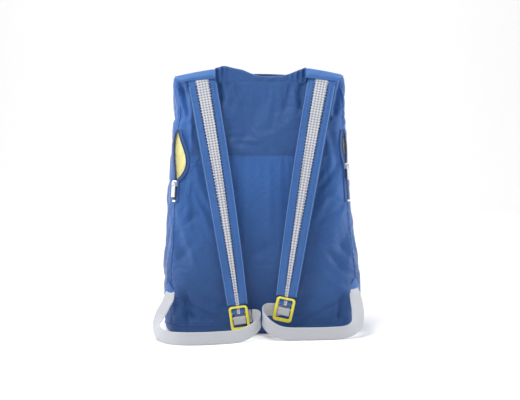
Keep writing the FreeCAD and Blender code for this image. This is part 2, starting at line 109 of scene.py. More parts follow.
# ---- materials -----------------------------------------------------------------
class Shader:
    """A small helper round one material's node tree."""

    def __init__(self, name):
        self.material = bpy.data.materials.new(name)
        self.material.use_nodes = True
        self.tree = self.material.node_tree
        self.tree.nodes.clear()
        self.output = self.tree.nodes.new("ShaderNodeOutputMaterial")
        self.surface = self.tree.nodes.new("ShaderNodeBsdfPrincipled")
        self.tree.links.new(self.surface.outputs[0], self.output.inputs["Surface"])

    def fixed(self, **values):
        for name, value in values.items():
            self.surface.inputs[name.replace("_", " ")].default_value = value

    def node(self, kind, **settings):
        made = self.tree.nodes.new("ShaderNode" + kind)
        for name, value in settings.items():
            setattr(made, name, value)
        return made

    def link(self, source, target):
        self.tree.links.new(source, target)

    def coordinates(self, kind):
        return self.node("TexCoord").outputs[kind]

    def maths(self, operation, first, second=None, third=None):
        made = self.node("Math", operation=operation)
        for socket, value in zip(made.inputs, (first, second, third)):
            if value is None:
                continue
            if isinstance(value, (int, float)):
                socket.default_value = value
            else:
                self.link(value, socket)
        return made.outputs[0]

    def noise(self, vector, scale, detail=3.0, roughness=0.55, distortion=0.0):
        made = self.node("TexNoise")
        made.inputs["Scale"].default_value = scale
        made.inputs["Detail"].default_value = detail
        made.inputs["Roughness"].default_value = roughness
        made.inputs["Distortion"].default_value = distortion
        self.link(vector, made.inputs["Vector"])
        return made.outputs["Fac"]

    def ramp(self, factor, stops):
        made = self.node("ValToRGB")
        ramp = made.color_ramp
        while len(ramp.elements) < len(stops):
            ramp.elements.new(0.5)
        for element, (position, colour) in zip(ramp.elements, stops):
            element.position = position
            element.color = (*colour, 1.0)
        self.link(factor, made.inputs["Fac"])
        return made.outputs["Color"]

    def mix(self, factor, first, second, blend_type="MIX"):
        made = self.node("Mix", data_type="RGBA", blend_type=blend_type)
        for socket, value in zip((made.inputs[0], made.inputs[6], made.inputs[7]), (factor, first, second)):
            if isinstance(value, (int, float)):
                socket.default_value = value
            elif isinstance(value, tuple):
                socket.default_value = (*value, 1.0)
            else:
                self.link(value, socket)
        return made.outputs[2]

    def bump(self, height, strength, distance, below=None):
        made = self.node("Bump")
        made.inputs["Strength"].default_value = strength
        made.inputs["Distance"].default_value = distance
        self.link(height, made.inputs["Height"])
        if below is not None:
            self.link(below, made.inputs["Normal"])
        return made.outputs["Normal"]

    def flat_uv(self):
        split = self.node("SeparateXYZ")
        self.link(self.coordinates("UV"), split.inputs[0])
        return split.outputs[0], split.outputs[1]

    def plain_weave(self, pitch):
        """Height of a plain weave, one thread over and one under, from the metric UVs."""
        u, v = self.flat_uv()
        turn = math.pi / pitch
        across = self.maths("SINE", self.maths("MULTIPLY", u, turn))
        along = self.maths("SINE", self.maths("MULTIPLY", v, turn))
        return self.maths("MULTIPLY", across, along)


def woven_cloth(name, light, dark, pitch=0.0006, crumple=0.35, roughness=0.55, sheen=0.2, painted_shade=False):
    """Thin woven cloth: a fine plain weave, soft crumples and a slightly uneven dye.

    Painted shade can be laid on: the cloth darker toward the bag's base and lighter, painted light, at about
    two thirds of its height.
    """
    s = Shader(name)
    place = s.coordinates("Object")
    blotches = s.noise(place, 9.0, 4.0, 0.6, 0.4)
    colour = s.ramp(blotches, [(0.3, dark), (0.7, light)])
    threads = s.noise(place, 900.0, 1.0)
    colour = s.mix(s.maths("MULTIPLY", threads, 0.16), colour, tuple(c * 0.6 for c in dark))
    if painted_shade:
        # painted shade and light: darker toward the base, lighter from about two thirds of the height up
        split = s.node("SeparateXYZ")
        s.link(place, split.inputs[0])
        level = s.maths("MULTIPLY", split.outputs[2], 1 / BAG_TOP)
        shades = [(0.05, 0.74), (0.26, 0.80), (0.46, 1.0), (0.66, 1.10)]
        wear_and_painted_shade = s.ramp(level, [(height, (shade,) * 3) for height, shade in shades])
        colour = s.mix(1.0, colour, wear_and_painted_shade, "MULTIPLY")
    s.link(colour, s.surface.inputs["Base Color"])
    creases = s.noise(place, 22.0, 5.0, 0.5, 1.2)
    folded = s.maths("ABSOLUTE", s.maths("SUBTRACT", s.noise(place, 15.0, 3.0, 0.5, 1.8), 0.5))
    sharp = s.maths("POWER", s.maths("MULTIPLY", folded, 2.0), 0.6)
    fine = s.noise(place, 70.0, 3.0, 0.5, 2.0)
    normal = s.bump(creases, crumple, 0.007)
    normal = s.bump(sharp, crumple * 0.7, 0.004, normal)
    normal = s.bump(fine, crumple * 0.8, 0.0016, normal)
    normal = s.bump(s.plain_weave(pitch), 0.35, 0.00012, normal)
    s.link(normal, s.surface.inputs["Normal"])
    rough = s.maths("MULTIPLY_ADD", blotches, 0.12, roughness - 0.06)
    s.link(rough, s.surface.inputs["Roughness"])
    s.fixed(Sheen_Weight=sheen, Sheen_Roughness=0.35, Specular_IOR_Level=0.35)
    return s.material


def knitted_mesh(name, light, gap):
    """Knitted mesh: staggered rows of small holes between soft stitches."""
    s = Shader(name)
    u, v = s.flat_uv()
    place = s.coordinates("Object")
    slack = s.maths("MULTIPLY", s.noise(place, 160.0, 2.0), 0.5)
    first = s.maths("MULTIPLY_ADD", u, math.pi / 0.0046, slack)
    second = s.maths("MULTIPLY_ADD", v, math.pi / 0.0042, slack)
    slant = s.maths("SINE", s.maths("ADD", first, second))
    counter = s.maths("SINE", s.maths("SUBTRACT", first, second))
    height = s.maths("MULTIPLY_ADD", s.maths("MULTIPLY", slant, counter), 0.5, 0.5)
    colour = s.ramp(height, [(0.16, gap), (0.62, light)])
    worn = s.noise(place, 45.0, 3.0)
    colour = s.mix(s.maths("MULTIPLY", worn, 0.3), colour, gap)
    s.link(colour, s.surface.inputs["Base Color"])
    s.link(s.bump(height, 0.7, 0.0006), s.surface.inputs["Normal"])
    s.fixed(Roughness=0.7, Sheen_Weight=0.15, Sheen_Roughness=0.4)
    return s.material


def ribbed_webbing(name, light, dark):
    """Flat woven webbing: rows of ribs across it and a tight selvedge."""
    s = Shader(name)
    u, v = s.flat_uv()
    chevron = s.maths("PINGPONG", u, 0.0033)
    row = s.maths("MULTIPLY_ADD", v, 1 / 0.0017, s.maths("MULTIPLY", chevron, 420.0))
    rib = s.maths("ABSOLUTE", s.maths("SINE", s.maths("MULTIPLY", row, math.pi)))
    yarn = s.maths("ABSOLUTE", s.maths("SINE", s.maths("MULTIPLY", u, math.pi / 0.00083)))
    height = s.maths("MULTIPLY_ADD", rib, 0.7, s.maths("MULTIPLY", yarn, 0.3))
    dirt = s.noise(s.coordinates("Object"), 30.0, 3.0)
    colour = s.ramp(height, [(0.15, dark), (0.75, light)])
    colour = s.mix(s.maths("MULTIPLY", dirt, 0.12), colour, tuple(c * 0.75 for c in dark))
    s.link(colour, s.surface.inputs["Base Color"])
    s.link(s.bump(height, 0.6, 0.00035), s.surface.inputs["Normal"])
    s.fixed(Roughness=0.72, Sheen_Weight=0.15, Sheen_Roughness=0.4)
    return s.material


def moulded_plastic(name, light, dark, roughness=0.3):
    """Moulded plastic with faint flow marks and scuffed edges."""
    s = Shader(name)
    place = s.coordinates("Object")
    flow = s.noise(place, 120.0, 3.0, 0.5, 0.8)
    s.link(s.ramp(flow, [(0.3, dark), (0.7, light)]), s.surface.inputs["Base Color"])
    scuffs = s.noise(place, 900.0, 4.0, 0.65)
    s.link(s.maths("MULTIPLY_ADD", scuffs, 0.2, roughness - 0.1), s.surface.inputs["Roughness"])
    s.link(s.bump(scuffs, 0.12, 0.0002), s.surface.inputs["Normal"])
    s.fixed(Subsurface_Weight=0.12, Subsurface_Scale=0.002, Coat_Weight=0.25, Coat_Roughness=0.2)
    return s.material


def enamelled_metal(name, light, dark):
    """Painted metal, worn a little duller in small patches."""
    s = Shader(name)
    place = s.coordinates("Object")
    wear_and_painted_shade = s.noise(place, 700.0, 4.0, 0.6)
    s.link(s.ramp(wear_and_painted_shade, [(0.35, dark), (0.65, light)]), s.surface.inputs["Base Color"])
    s.link(s.maths("MULTIPLY_ADD", wear_and_painted_shade, 0.2, 0.25), s.surface.inputs["Roughness"])
    s.link(s.bump(wear_and_painted_shade, 0.15, 0.0001), s.surface.inputs["Normal"])
    s.fixed(Metallic=0.55)
    return s.material


def thread(name, light, dark):
    """Sewing thread, twisted along its length."""
    s = Shader(name)
    strands = s.noise(s.coordinates("Object"), 1500.0, 2.0)
    s.link(s.ramp(strands, [(0.35, dark), (0.65, light)]), s.surface.inputs["Base Color"])
    s.link(s.bump(strands, 0.3, 0.0001), s.surface.inputs["Normal"])
    s.fixed(Roughness=0.6)
    return s.material


# the bag's cloth carries the painted shade: darker toward the base, lighter higher up
BLUE = woven_cloth("blue_cloth", (0.034, 0.122, 0.372), (0.025, 0.094, 0.300), crumple=0.45, painted_shade=True)
# painted shade: a darker copy of the blue cloth, for doubled cloth that lets less light through
SHADED_DOUBLE_BLUE = woven_cloth("blue_double_cloth_painted_shade", (0.031, 0.106, 0.318), (0.023, 0.082, 0.256))
STRAP_BLUE = woven_cloth("blue_strap_cloth", (0.046, 0.150, 0.420), (0.031, 0.108, 0.330), crumple=0.25)
# painted highlight: a lighter copy of the blue cloth for the yoke bands, which face up toward the light
LIT_YOKE_BLUE = woven_cloth("blue_yoke_cloth_painted_highlight", (0.064, 0.190, 0.490), (0.044, 0.140, 0.400), crumple=0.25)
# partly painted highlight: the piping is a rolled edge, and its lighter blue stands in for the light the edge
# catches
LIT_PIPING = woven_cloth("blue_piping_painted_highlight", (0.085, 0.215, 0.540), (0.060, 0.165, 0.450), 0.0004, 0.1)
# painted shadow: a navy cord tucked under each strap edge stands in for the contact shadow there
PAINTED_SHADOW = woven_cloth("navy_painted_shadow", (0.010, 0.030, 0.100), (0.007, 0.020, 0.070), 0.0004, 0.1)
YELLOW_CLOTH = woven_cloth("yellow_lining", (0.84, 0.78, 0.36), (0.78, 0.70, 0.26), crumple=0.3)
MESH = knitted_mesh("grey_mesh", (0.66, 0.67, 0.71), (0.22, 0.23, 0.29))
WEBBING = ribbed_webbing("grey_webbing", (0.56, 0.57, 0.61), (0.38, 0.39, 0.43))
TAPE = woven_cloth("zip_tape", (0.030, 0.098, 0.310), (0.022, 0.076, 0.250), 0.0005, 0.1)
COIL = moulded_plastic("zip_coil", (0.020, 0.050, 0.130), (0.012, 0.034, 0.100), 0.35)
YELLOW = moulded_plastic("yellow_plastic", (0.88, 0.80, 0.070), (0.80, 0.70, 0.045), 0.28)
METAL = enamelled_metal("zip_metal", (0.75, 0.76, 0.78), (0.55, 0.56, 0.58))
PULL = moulded_plastic("pull_cord", (0.74, 0.75, 0.77), (0.64, 0.65, 0.68), 0.45)
THREAD = thread("blue_thread", (0.10, 0.24, 0.56), (0.06, 0.15, 0.40))
NAVY_THREAD = thread("navy_thread", (0.014, 0.035, 0.110), (0.008, 0.022, 0.075))


# ---- meshes ----------------------------------------------------------------------
def make_object(name, points, faces, material, face_uvs=None):
    """A smooth mesh object from points, faces and, where given, each face's corner UVs."""
    mesh = bpy.data.meshes.new(name)
    mesh.from_pydata([tuple(p) for p in points], [], faces)
    mesh.materials.append(material)
    if face_uvs is not None:
        layer = mesh.uv_layers.new(name="flat")
        layer.data.foreach_set("uv", np.array(face_uvs, float).ravel())
    mesh.polygons.foreach_set("use_smooth", [True] * len(mesh.polygons))
    mesh.update()
    made = bpy.data.objects.new(name, mesh)
    bpy.context.scene.collection.objects.link(made)
    return made


def grid_object(name, points, flat, material, closed=False):
    """A mesh over a (rows, columns, 3) array; flat holds (rows, columns + closed, 2) UVs."""
    rows, columns = points.shape[:2]
    faces, uvs = [], []
    last = columns if closed else columns - 1
    for row in range(rows - 1):
        for column in range(last):
            after = (column + 1) % columns
            faces.append((
                row * columns + column, row * columns + after,
                (row + 1) * columns + after, (row + 1) * columns + column,
            ))
            uvs += [flat[row, column], flat[row, column + 1]]
            uvs += [flat[row + 1, column + 1], flat[row + 1, column]]
    return make_object(name, points.reshape(-1, 3), faces, material, uvs)


def apply_modifiers(made):
    """Bake an object's modifiers into its mesh."""
    bpy.context.view_layer.update()
    graph = bpy.context.evaluated_depsgraph_get()
    mesh = bpy.data.meshes.new_from_object(made.evaluated_get(graph))
    made.modifiers.clear()
    made.data = mesh
    return made


def subdivide(made, levels=1):
    modifier = made.modifiers.new("finer", "SUBSURF")
    modifier.levels = modifier.render_levels = levels
    return apply_modifiers(made)


def fit(made, body, nodes=()):
    """Fix a piece to its body, and hide the CAD nodes it stands for."""
    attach(made, body)
    if nodes:
        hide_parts(*nodes)


def edit_mesh(made, change):
    """Run change(bmesh) on an object's mesh."""
    mesh = bmesh.new()
    mesh.from_mesh(made.data)
    change(mesh)
    mesh.to_mesh(made.data)
    mesh.free()
    made.data.update()


def thicken(made, thickness, offset=0.0):
    modifier = made.modifiers.new("cloth", "SOLIDIFY")
    modifier.thickness = thickness
    modifier.offset = offset
    return apply_modifiers(made)


def thin_sheet(name, rows, flats, material, thickness):
    """A sheet of cloth over rows of points, given its thickness."""
    made = grid_object(name, np.array(rows), np.array(flats), material)
    edit_mesh(made, weld)
    return thicken(made, thickness)


def coordinates(mesh):
    values = np.empty(len(mesh.vertices) * 3)
    mesh.vertices.foreach_get("co", values)
    return values.reshape(-1, 3)


def vertex_normals(mesh):
    values = np.empty(len(mesh.vertices) * 3)
    mesh.vertex_normals.foreach_get("vector", values)
    return values.reshape(-1, 3)


def set_coordinates(mesh, values):
    mesh.vertices.foreach_set("co", values.ravel())
    mesh.update()


def unit(vectors):
    length = np.linalg.norm(vectors, axis=-1, keepdims=True)
    return vectors / np.maximum(length, 1e-12)


def smooth_step(x, low, high):
    t = np.clip((x - low) / (high - low), 0, 1)
    return t * t * (3 - 2 * t)


def soft_noise(points, scale, seed=0.0):
    """Smooth noise from about -1 to 1 at each point."""
    shift = Vector((seed, seed * 0.7, -seed))
    return np.array([noise.noise(Vector(p) * scale + shift) for p in points])


# ---- bag body ------------------------------------------------------------------------
def section(z):
    """(middle x, half width, harness face, far face, corner radius) at a height, smoothed."""
    taps = [z + step for step in (-0.024, -0.012, 0.0, 0.012, 0.024)]
    rows = []
    for column in range(1, 6):
        slope = (SECTIONS[-1, column] - SECTIONS[-2, column]) / (SECTIONS[-1, 0] - SECTIONS[-2, 0])
        values = [
            np.interp(tap, SECTIONS[:, 0], SECTIONS[:, column]) + slope * max(0.0, tap - BAG_TOP)
            for tap in taps
        ]
        rows.append(float(np.mean(values)))
    return rows


RIM = 0.004                     # radius of the rounded rim round the top
BASE_ROWS, EDGE_ROWS, WALL_ROWS = 10, 5, 98
FLAT_COLUMNS, ARC_COLUMNS, SIDE_COLUMNS = 60, 14, 18
RING = 2 * FLAT_COLUMNS + 4 * ARC_COLUMNS + 2 * SIDE_COLUMNS
SEAM_COLUMNS = {
    "harness_left": RING - ARC_COLUMNS // 2,
    "harness_right": FLAT_COLUMNS + ARC_COLUMNS // 2 + 2,
    "far_right": FLAT_COLUMNS + 2 * ARC_COLUMNS + SIDE_COLUMNS,
    "far_left": 2 * FLAT_COLUMNS + 2 * ARC_COLUMNS + SIDE_COLUMNS,
}


def ring(lean, half, back, far, radius, z):
    """Points round the bag, anticlockwise from above, from the harness face's left seam."""
    x0, x1 = -half + radius, half - radius
    y0, y1 = back + radius, far - radius
    points = []

    def run(a, b, count):
        for n in range(count):
            t = n / count
            points.append((a[0] + (b[0] - a[0]) * t, a[1] + (b[1] - a[1]) * t, z))

    def turn(cx, cy, start):
        for n in range(ARC_COLUMNS):
            a = math.radians(start + 90 * n / ARC_COLUMNS)
            points.append((cx + radius * math.cos(a), cy + radius * math.sin(a), z))

    run((x0, back), (x1, back), FLAT_COLUMNS)
    turn(x1, y0, -90)
    run((half, y0), (half, y1), SIDE_COLUMNS)
    turn(x1, y1, 0)
    run((x1, far), (x0, far), FLAT_COLUMNS)
    turn(x0, y1, 90)
    run((-half, y1), (-half, y0), SIDE_COLUMNS)
    turn(x0, y0, 180)
    return np.array(points) + np.array([lean, 0, 0])


def bag_rows():
    """Rings from the middle of the base, up the sides and over the top to the zip."""
    rows, kinds = [], []
    lean, half, back, far, radius = section(BASE_EDGE)
    inset = BASE_INSET
    base = ring(lean, half - inset, back + inset, far - inset, radius - inset, 0.0)
    centre = np.array([lean, (back + far) / 2, 0])
    for share in np.linspace(0.06, 1, BASE_ROWS + 1)[:-1]:
        rows.append(centre + (base - centre) * share)
        kinds.append("base")
    for turn in np.linspace(0, 90, EDGE_ROWS + 1)[:-1]:
        a = math.radians(turn)
        in_by = inset * (1 - math.sin(a))
        lift = BASE_EDGE * (1 - math.cos(a))
        rows.append(ring(lean, half - in_by, back + in_by, far - in_by, radius - in_by, lift))
        kinds.append("edge")
    for z in np.linspace(BASE_EDGE, BAG_TOP - RIM, WALL_ROWS):
        rows.append(ring(*section(z), z))
        kinds.append("wall")
    lean, half, back, far, radius = section(BAG_TOP)
    for turn in (35, 65, 90):
        a = math.radians(turn)
        in_by = RIM * (1 - math.cos(a))
        lift = BAG_TOP - RIM * (1 - math.sin(a))
        rows.append(ring(lean, half - in_by, back + in_by, far - in_by, radius - in_by, lift))
        kinds.append("rim")
    outer = rows[-1]
    mouth = mouth_ring(outer, lean, half)
    for share in np.linspace(0, 1, 9)[1:]:
        points = outer + (mouth - outer) * share
        points[:, 2] = BAG_TOP
        rows.append(points)
        kinds.append("top")
    return np.array(rows), kinds


def mouth_ring(outer, lean, half):
    """The mouth's edge on the flat top, one point for each column of the bag."""
    t = np.clip((outer[:, 0] - lean) / half, -1, 1)
    middle = (outer[:, 1].max() + outer[:, 1].min()) / 2
    side = np.clip((outer[:, 1] - middle) / 0.02, -1, 1)
    x = MAIN_ZIP_START + MAIN_MOUTH / 2 + t * MAIN_MOUTH / 2
    y = MAIN_ZIP_Y + side * MAIN_MOUTH_HALF * (1 - t * t)
    return np.stack([x, y, np.full(len(t), BAG_TOP)], axis=1)


# creases in the harness face: (x, z) from, (x, z) to, half width, depth (inward is positive)
CREASES = [
    ((-0.060, 0.280), (0.062, 0.281), 0.0022, 0.0012),
    ((-0.1270, 0.400), (-0.1150, 0.336), 0.0040, 0.0105),
    ((-0.1330, 0.385), (-0.1270, 0.330), 0.0038, 0.0030),
    ((-0.1190, 0.335), (-0.1240, 0.215), 0.0050, 0.0030),
    ((-0.1080, 0.392), (-0.1120, 0.310), 0.0050, -0.0022),
    ((0.1240, 0.404), (0.1145, 0.340), 0.0042, 0.0110),
    ((-0.0690, 0.404), (-0.0640, 0.360), 0.0040, 0.0060),
    ((0.0660, 0.404), (0.0640, 0.350), 0.0040, 0.0050),
    ((-0.0900, 0.048), (0.0900, 0.048), 0.0360, 0.0050),
    ((0.1060, 0.330), (0.1220, 0.262), 0.0050, 0.0032),
    ((0.0880, 0.226), (0.1290, 0.276), 0.0042, 0.0048),
    ((0.0900, 0.200), (0.1240, 0.232), 0.0042, -0.0034),
    ((0.1000, 0.182), (0.1340, 0.206), 0.0046, 0.0048),
    ((0.0980, 0.138), (0.1400, 0.092), 0.0050, 0.0052),
    ((0.0840, 0.106), (0.1420, 0.058), 0.0050, -0.0034),
    ((0.1240, 0.150), (0.1440, 0.116), 0.0040, 0.0038),
    ((-0.1200, 0.074), (-0.1130, 0.012), 0.0048, 0.0075),
    ((0.1270, 0.072), (0.1230, 0.014), 0.0048, 0.0070),
    ((-0.0980, 0.196), (-0.1240, 0.170), 0.0046, 0.0036),
    ((-0.1020, 0.150), (-0.1340, 0.118), 0.0055, 0.0028),
    ((-0.1040, 0.110), (-0.1280, 0.160), 0.0050, -0.0026),
    ((-0.0100, 0.215), (0.0020, 0.030), 0.0260, 0.0070),
    ((-0.0560, 0.404), (-0.0430, 0.352), 0.0040, 0.0034),
    ((-0.0440, 0.404), (-0.0250, 0.350), 0.0036, 0.0028),
    ((-0.0300, 0.402), (-0.0120, 0.360), 0.0040, -0.0016),
    ((0.0140, 0.402), (0.0080, 0.352), 0.0060, 0.0016),
    ((0.0500, 0.404), (0.0340, 0.348), 0.0040, 0.0030),
    ((0.0620, 0.404), (0.0560, 0.340), 0.0036, 0.0030),
    ((-0.0580, 0.350), (-0.0480, 0.300), 0.0050, 0.0022),
    ((-0.0300, 0.120), (0.0240, 0.150), 0.0070, 0.0018),
    ((0.0600, 0.070), (0.1000, 0.044), 0.0060, 0.0026),
    ((-0.0900, 0.060), (-0.0500, 0.040), 0.0060, 0.0024),
]


def segment_share(x, z, start, end):
    """(share along, distance from) a segment for points in the harness face."""
    d = np.array(end) - np.array(start)
    t = ((x - start[0]) * d[0] + (z - start[1]) * d[1]) / (d @ d)
    near = np.clip(t, 0, 1)
    return t, np.hypot(x - start[0] - near * d[0], z - start[1] - near * d[1])


def harness_creases(points):
    """How far inward the creases press each point of the harness side."""
    x, y, z = points.T
    facing = smooth_step(-y, -0.01, 0.03)
    pressed = np.zeros(len(points))
    for start, end, width, depth in CREASES:
        t, distance = segment_share(x, z, start, end)
        fade = smooth_step(t, -0.05, 0.25) * smooth_step(-t, -1.05, -0.75)
        pressed += depth * np.exp(-(distance / width) ** 2) * fade
    return pressed * facing


def crumples(points):
    """Small ridged wrinkles, strongest on the slack cloth outside the harness's middle."""
    z = points[:, 2]
    stretched = points * np.array([1.0, 1.0, 0.55])
    warp = soft_noise(points, 9.0, 4.0)[:, None] * np.array([0.03, 0.03, 0.05])
    ridged = 1 - 2 * np.abs(soft_noise(stretched + warp, 27.0, 1.0))
    broad = soft_noise(points, 16.0, 7.0)
    slack = 0.30 + 0.70 * smooth_step(np.abs(points[:, 0]), 0.075, 0.115)
    held = smooth_step(z, 0.016, 0.05) * smooth_step(-z, -0.402, -0.385)
    tab = np.hypot(np.abs(points[:, 0]) - 0.144, z - 0.072) + np.maximum(points[:, 1], 0)
    return (0.0011 * ridged + 0.0026 * broad) * slack * held * smooth_step(tab, 0.016, 0.034)


def neck_sag(points):
    """How far the slack top hangs between the yokes: down in front of the zip, up behind it."""
    x, y, z = points.T
    between = np.clip(1 - ((x - NECK_MIDDLE) / NECK_HALF) ** 2, 0, 1)
    return -0.0038 * np.clip(y / 0.03, -1, 1) * between * smooth_step(z, 0.34, 0.40)


def shoulder_fullness(points):
    """How far the bag's top corners stand out sideways, under the ends of the yokes."""
    x, _, z = points.T
    out = smooth_step(np.abs(x), 0.085, 0.125) * smooth_step(z, 0.340, 0.394)
    return 0.0046 * np.sign(x) * out


def pin_weights(points, kinds):
    """How firmly each point of the bag is held by seams, zips and the floor."""
    rows = len(kinds)
    pins = np.zeros((rows, RING))
    seams = SEAM_COLUMNS.values()
    for n, kind in enumerate(kinds):
        if kind in ("base", "edge", "top", "rim"):
            pins[n] = 1.0
            continue
        z = points[n, 0, 2]
        for column in seams:
            pins[n, column] = 0.85
        if abs(z - POCKET_SEAM) < 0.003:
            pins[n, :FLAT_COLUMNS] = 0.7
        if z < BASE_EDGE + 0.004 or z > BAG_TOP - 0.008:
            pins[n] = 1.0
        near_zip = SIDE_ZIP_BOTTOM - 0.01 < z < SIDE_ZIP_TOP + 0.01
        if near_zip:
            pins[n, FLAT_COLUMNS:FLAT_COLUMNS + ARC_COLUMNS + 1] = 1.0
            pins[n, -ARC_COLUMNS:] = 1.0
    return pins.ravel()


def simulate_cloth(made, pins, frames=16):
    """Blow the cloth out gently while it grows by a few percent, so that it buckles and sags."""
    group = made.vertex_groups.new(name="held")
    for level in np.unique(np.round(pins, 2)):
        if level > 0:
            chosen = np.flatnonzero(np.round(pins, 2) == level)
            group.add(chosen.tolist(), float(level), "REPLACE")
    cloth = made.modifiers.new("Cloth", "CLOTH")
    settings = cloth.settings
    settings.quality = 4
    settings.mass = 0.12
    settings.tension_stiffness = settings.compression_stiffness = 12
    settings.shear_stiffness = 4
    settings.bending_stiffness = 0.08
    settings.air_damping = 4
    settings.shrink_min = -0.035
    settings.use_pressure = True
    settings.uniform_pressure_force = 0.9
    settings.vertex_group_mass = group.name
    settings.effector_weights.gravity = 0.25
    cloth.collision_settings.use_collision = False
    cloth.collision_settings.use_self_collision = False
    scene = bpy.context.scene
    cloth.point_cache.frame_start = 1
    cloth.point_cache.frame_end = frames
    for number in range(1, frames + 1):
        scene.frame_set(number)
    graph = bpy.context.evaluated_depsgraph_get()
    result = coordinates(made.evaluated_get(graph).to_mesh())
    made.modifiers.clear()
    made.vertex_groups.clear()
    scene.frame_set(1)
    return result


def bag_uvs(points):
    """Metric UVs: round the bag and up it, measured on the widest ring."""
    rows = len(points)
    wide = points[20]
    steps = np.linalg.norm(np.roll(wide, -1, axis=0) - wide, axis=1)
    u = np.concatenate([[0], np.cumsum(steps)])
    middle = points[:, FLAT_COLUMNS // 2]
    v = np.concatenate([[0], np.cumsum(np.linalg.norm(np.diff(middle, axis=0), axis=1))])
    flat = np.zeros((rows, RING + 1, 2))
    flat[:, :, 0] = u[None, :]
    flat[:, :, 1] = v[:, None]
    return flat


PANEL_NODES = [
    "back_panel_lower", "back_panel_upper", "front_panel", "bottom_panel", "top_gusset",
    "side_panel_left", "side_panel_right", "stow_pocket",
]


def close_base(mesh):
    """Fill the small ring left open in the middle of the base."""
    rim = [e for e in mesh.edges if e.is_boundary and e.verts[0].co.z < 0.001]
    bmesh.ops.holes_fill(mesh, edges=rim, sides=0)


def zip_slack(points):
    """0 beside the side zips, where the cloth is sewn to their tapes, and 1 well away."""
    x, y, z = points.T
    beyond = np.maximum(SIDE_ZIP_BOTTOM - z, z - SIDE_ZIP_TOP)
    around = np.maximum(y + 0.005, 0.112 - np.abs(x))
    return smooth_step(np.maximum(beyond, around), 0.0, 0.02)


def make_bag():
    """The whole bag of cloth: lofted, simulated, creased, and cut open at the zips."""
    points, kinds = bag_rows()
    pins = pin_weights(points, kinds)
    bag = grid_object("bag_cloth", points, bag_uvs(points), BLUE, closed=True)
    edit_mesh(bag, close_base)
    rest = points.reshape(-1, 3)
    normals = vertex_normals(bag.data)
    moved = rest.copy()
    shift = simulate_cloth(bag, pins) - rest
    outward = np.sum(shift * normals, axis=1)
    harness = smooth_step(-rest[:, 1], 0.0, 0.03)
    highest = 0.006 - 0.003 * harness
    capped = np.clip(outward, -0.008, highest)
    moved = rest + (shift - normals * outward[:, None]) * 0.5 + normals * capped[:, None]
    moved -= normals * (harness_creases(rest) + crumples(rest) * zip_slack(rest))[:, None]
    moved[:, 2] -= neck_sag(rest)
    moved[:, 0] += shoulder_fullness(rest)
    set_coordinates(bag.data, moved)
    surface = moved.reshape(points.shape)
    subdivide(bag)
    paint_doubled_panel_shade(bag)
    edit_mesh(bag, cut_side_mouths)
    thicken(bag, 0.0006, -1.0)
    fit(bag, "bag", PANEL_NODES)
    return surface


def paint_doubled_panel_shade(bag):
    """The harness face above the pocket seam is two layers deep; its darker cloth is painted shade for the
    light that two layers let through less than one.
    """
    bag.data.materials.append(SHADED_DOUBLE_BLUE)
    for face in bag.data.polygons:
        x, y, z = face.center
        if z < POCKET_SEAM or y > 0:
            continue
        lean, half, back, _, radius = section(z)
        if y < back + 0.012 and abs(x - lean) < half - radius:
            face.material_index = 1


def round_corner(side, z, centre_angle, across, lift=0.0):
    """A point on the harness side's rounded corner, across its cloth from an angle round it.

    The angle is 0 where the corner meets the side and 90 degrees where it meets the face.
    """
    lean, half, back, _, radius = section(z)
    angle = centre_angle + across / radius
    x = half - radius + (radius + lift) * math.cos(angle)
    y = back + radius - (radius + lift) * math.sin(angle)
    return np.array([lean + SIDES[side] * x, y, z])


# ---- side zips -------------------------------------------------------------------------
def corner_point(side, along, across, lift=0.0):
    """A point on the rounded corner: along the zip from its top, across it, above the cloth."""
    return round_corner(side, SIDE_ZIP_TOP - along * ZIP_DROP, ZIP_ANGLE[side], across, lift)


# (gap, share of the way down at which it is widest) on the front and rear side of the zip
LENS = {
    ("left", 1): (0.0160, 0.64), ("left", -1): (0.0085, 0.30),
    ("right", 1): (0.0042, 0.5), ("right", -1): (0.0042, 0.5),
}


def lens_gap(side, along, way):
    """Gap from the zip's line to its front (way 1) or rear (way -1) row of teeth."""
    gap, peak = LENS[side, way]
    t = min(1.0, max(0.0, along / SIDE_MOUTH[side]))
    low, high = 2.6 * peak, 2.6 * (1 - peak)
    return gap * (t / peak) ** low * ((1 - t) / (1 - peak)) ** high


def cut_side_mouths(mesh):
    """Remove the cloth between the teeth of the open side zips."""
    doomed = []
    for face in mesh.faces:
        centre = face.calc_center_median()
        side = "left" if centre.x < 0 else "right"
        along = (SIDE_ZIP_TOP - centre.z) / ZIP_DROP
        if not 0 < along < SIDE_MOUTH[side] or centre.y > 0:
            continue
        lean, half, back, _, radius = section(centre.z)
        angle = math.atan2(-(centre.y - back - radius), abs(centre.x - lean) - half + radius)
        across = (angle - ZIP_ANGLE[side]) * radius
        if abs(across) < lens_gap(side, along, 1 if across > 0 else -1) + 0.0006:
            doomed.append(face)
    bmesh.ops.delete(mesh, geom=doomed, context="FACES")


# ---- bands: straps, stripes and webbing ------------------------------------------------
def dense_path(points, spacing, *others):
    """Catmull-Rom points along a path about spacing apart, with other arrays carried along."""
    points = np.array(points, float)
    columns = [points] + [np.array(o, float) for o in others]
    packed = np.concatenate([c.reshape(len(points), -1) for c in columns], axis=1)
    padded = np.vstack([2 * packed[0] - packed[1], packed, 2 * packed[-1] - packed[-2]])
    result = []
    for n in range(1, len(padded) - 2):
        a, b, c, d = padded[n - 1:n + 3]
        steps = max(2, int(np.linalg.norm((c - b)[:3]) / spacing))
        for t in np.linspace(0, 1, steps, endpoint=False):
            result.append(0.5 * (
                2 * b + (c - a) * t + (2 * a - 5 * b + 4 * c - d) * t ** 2
                + (3 * b - a - 3 * c + d) * t ** 3
            ))
    result.append(packed[-1])
    result = np.array(result)
    cuts = np.cumsum([c.reshape(len(points), -1).shape[1] for c in columns])[:-1]
    return np.split(result, cuts, axis=1)


def lengths_along(points):
    return np.concatenate([[0], np.cumsum(np.linalg.norm(np.diff(points, axis=0), axis=1))])


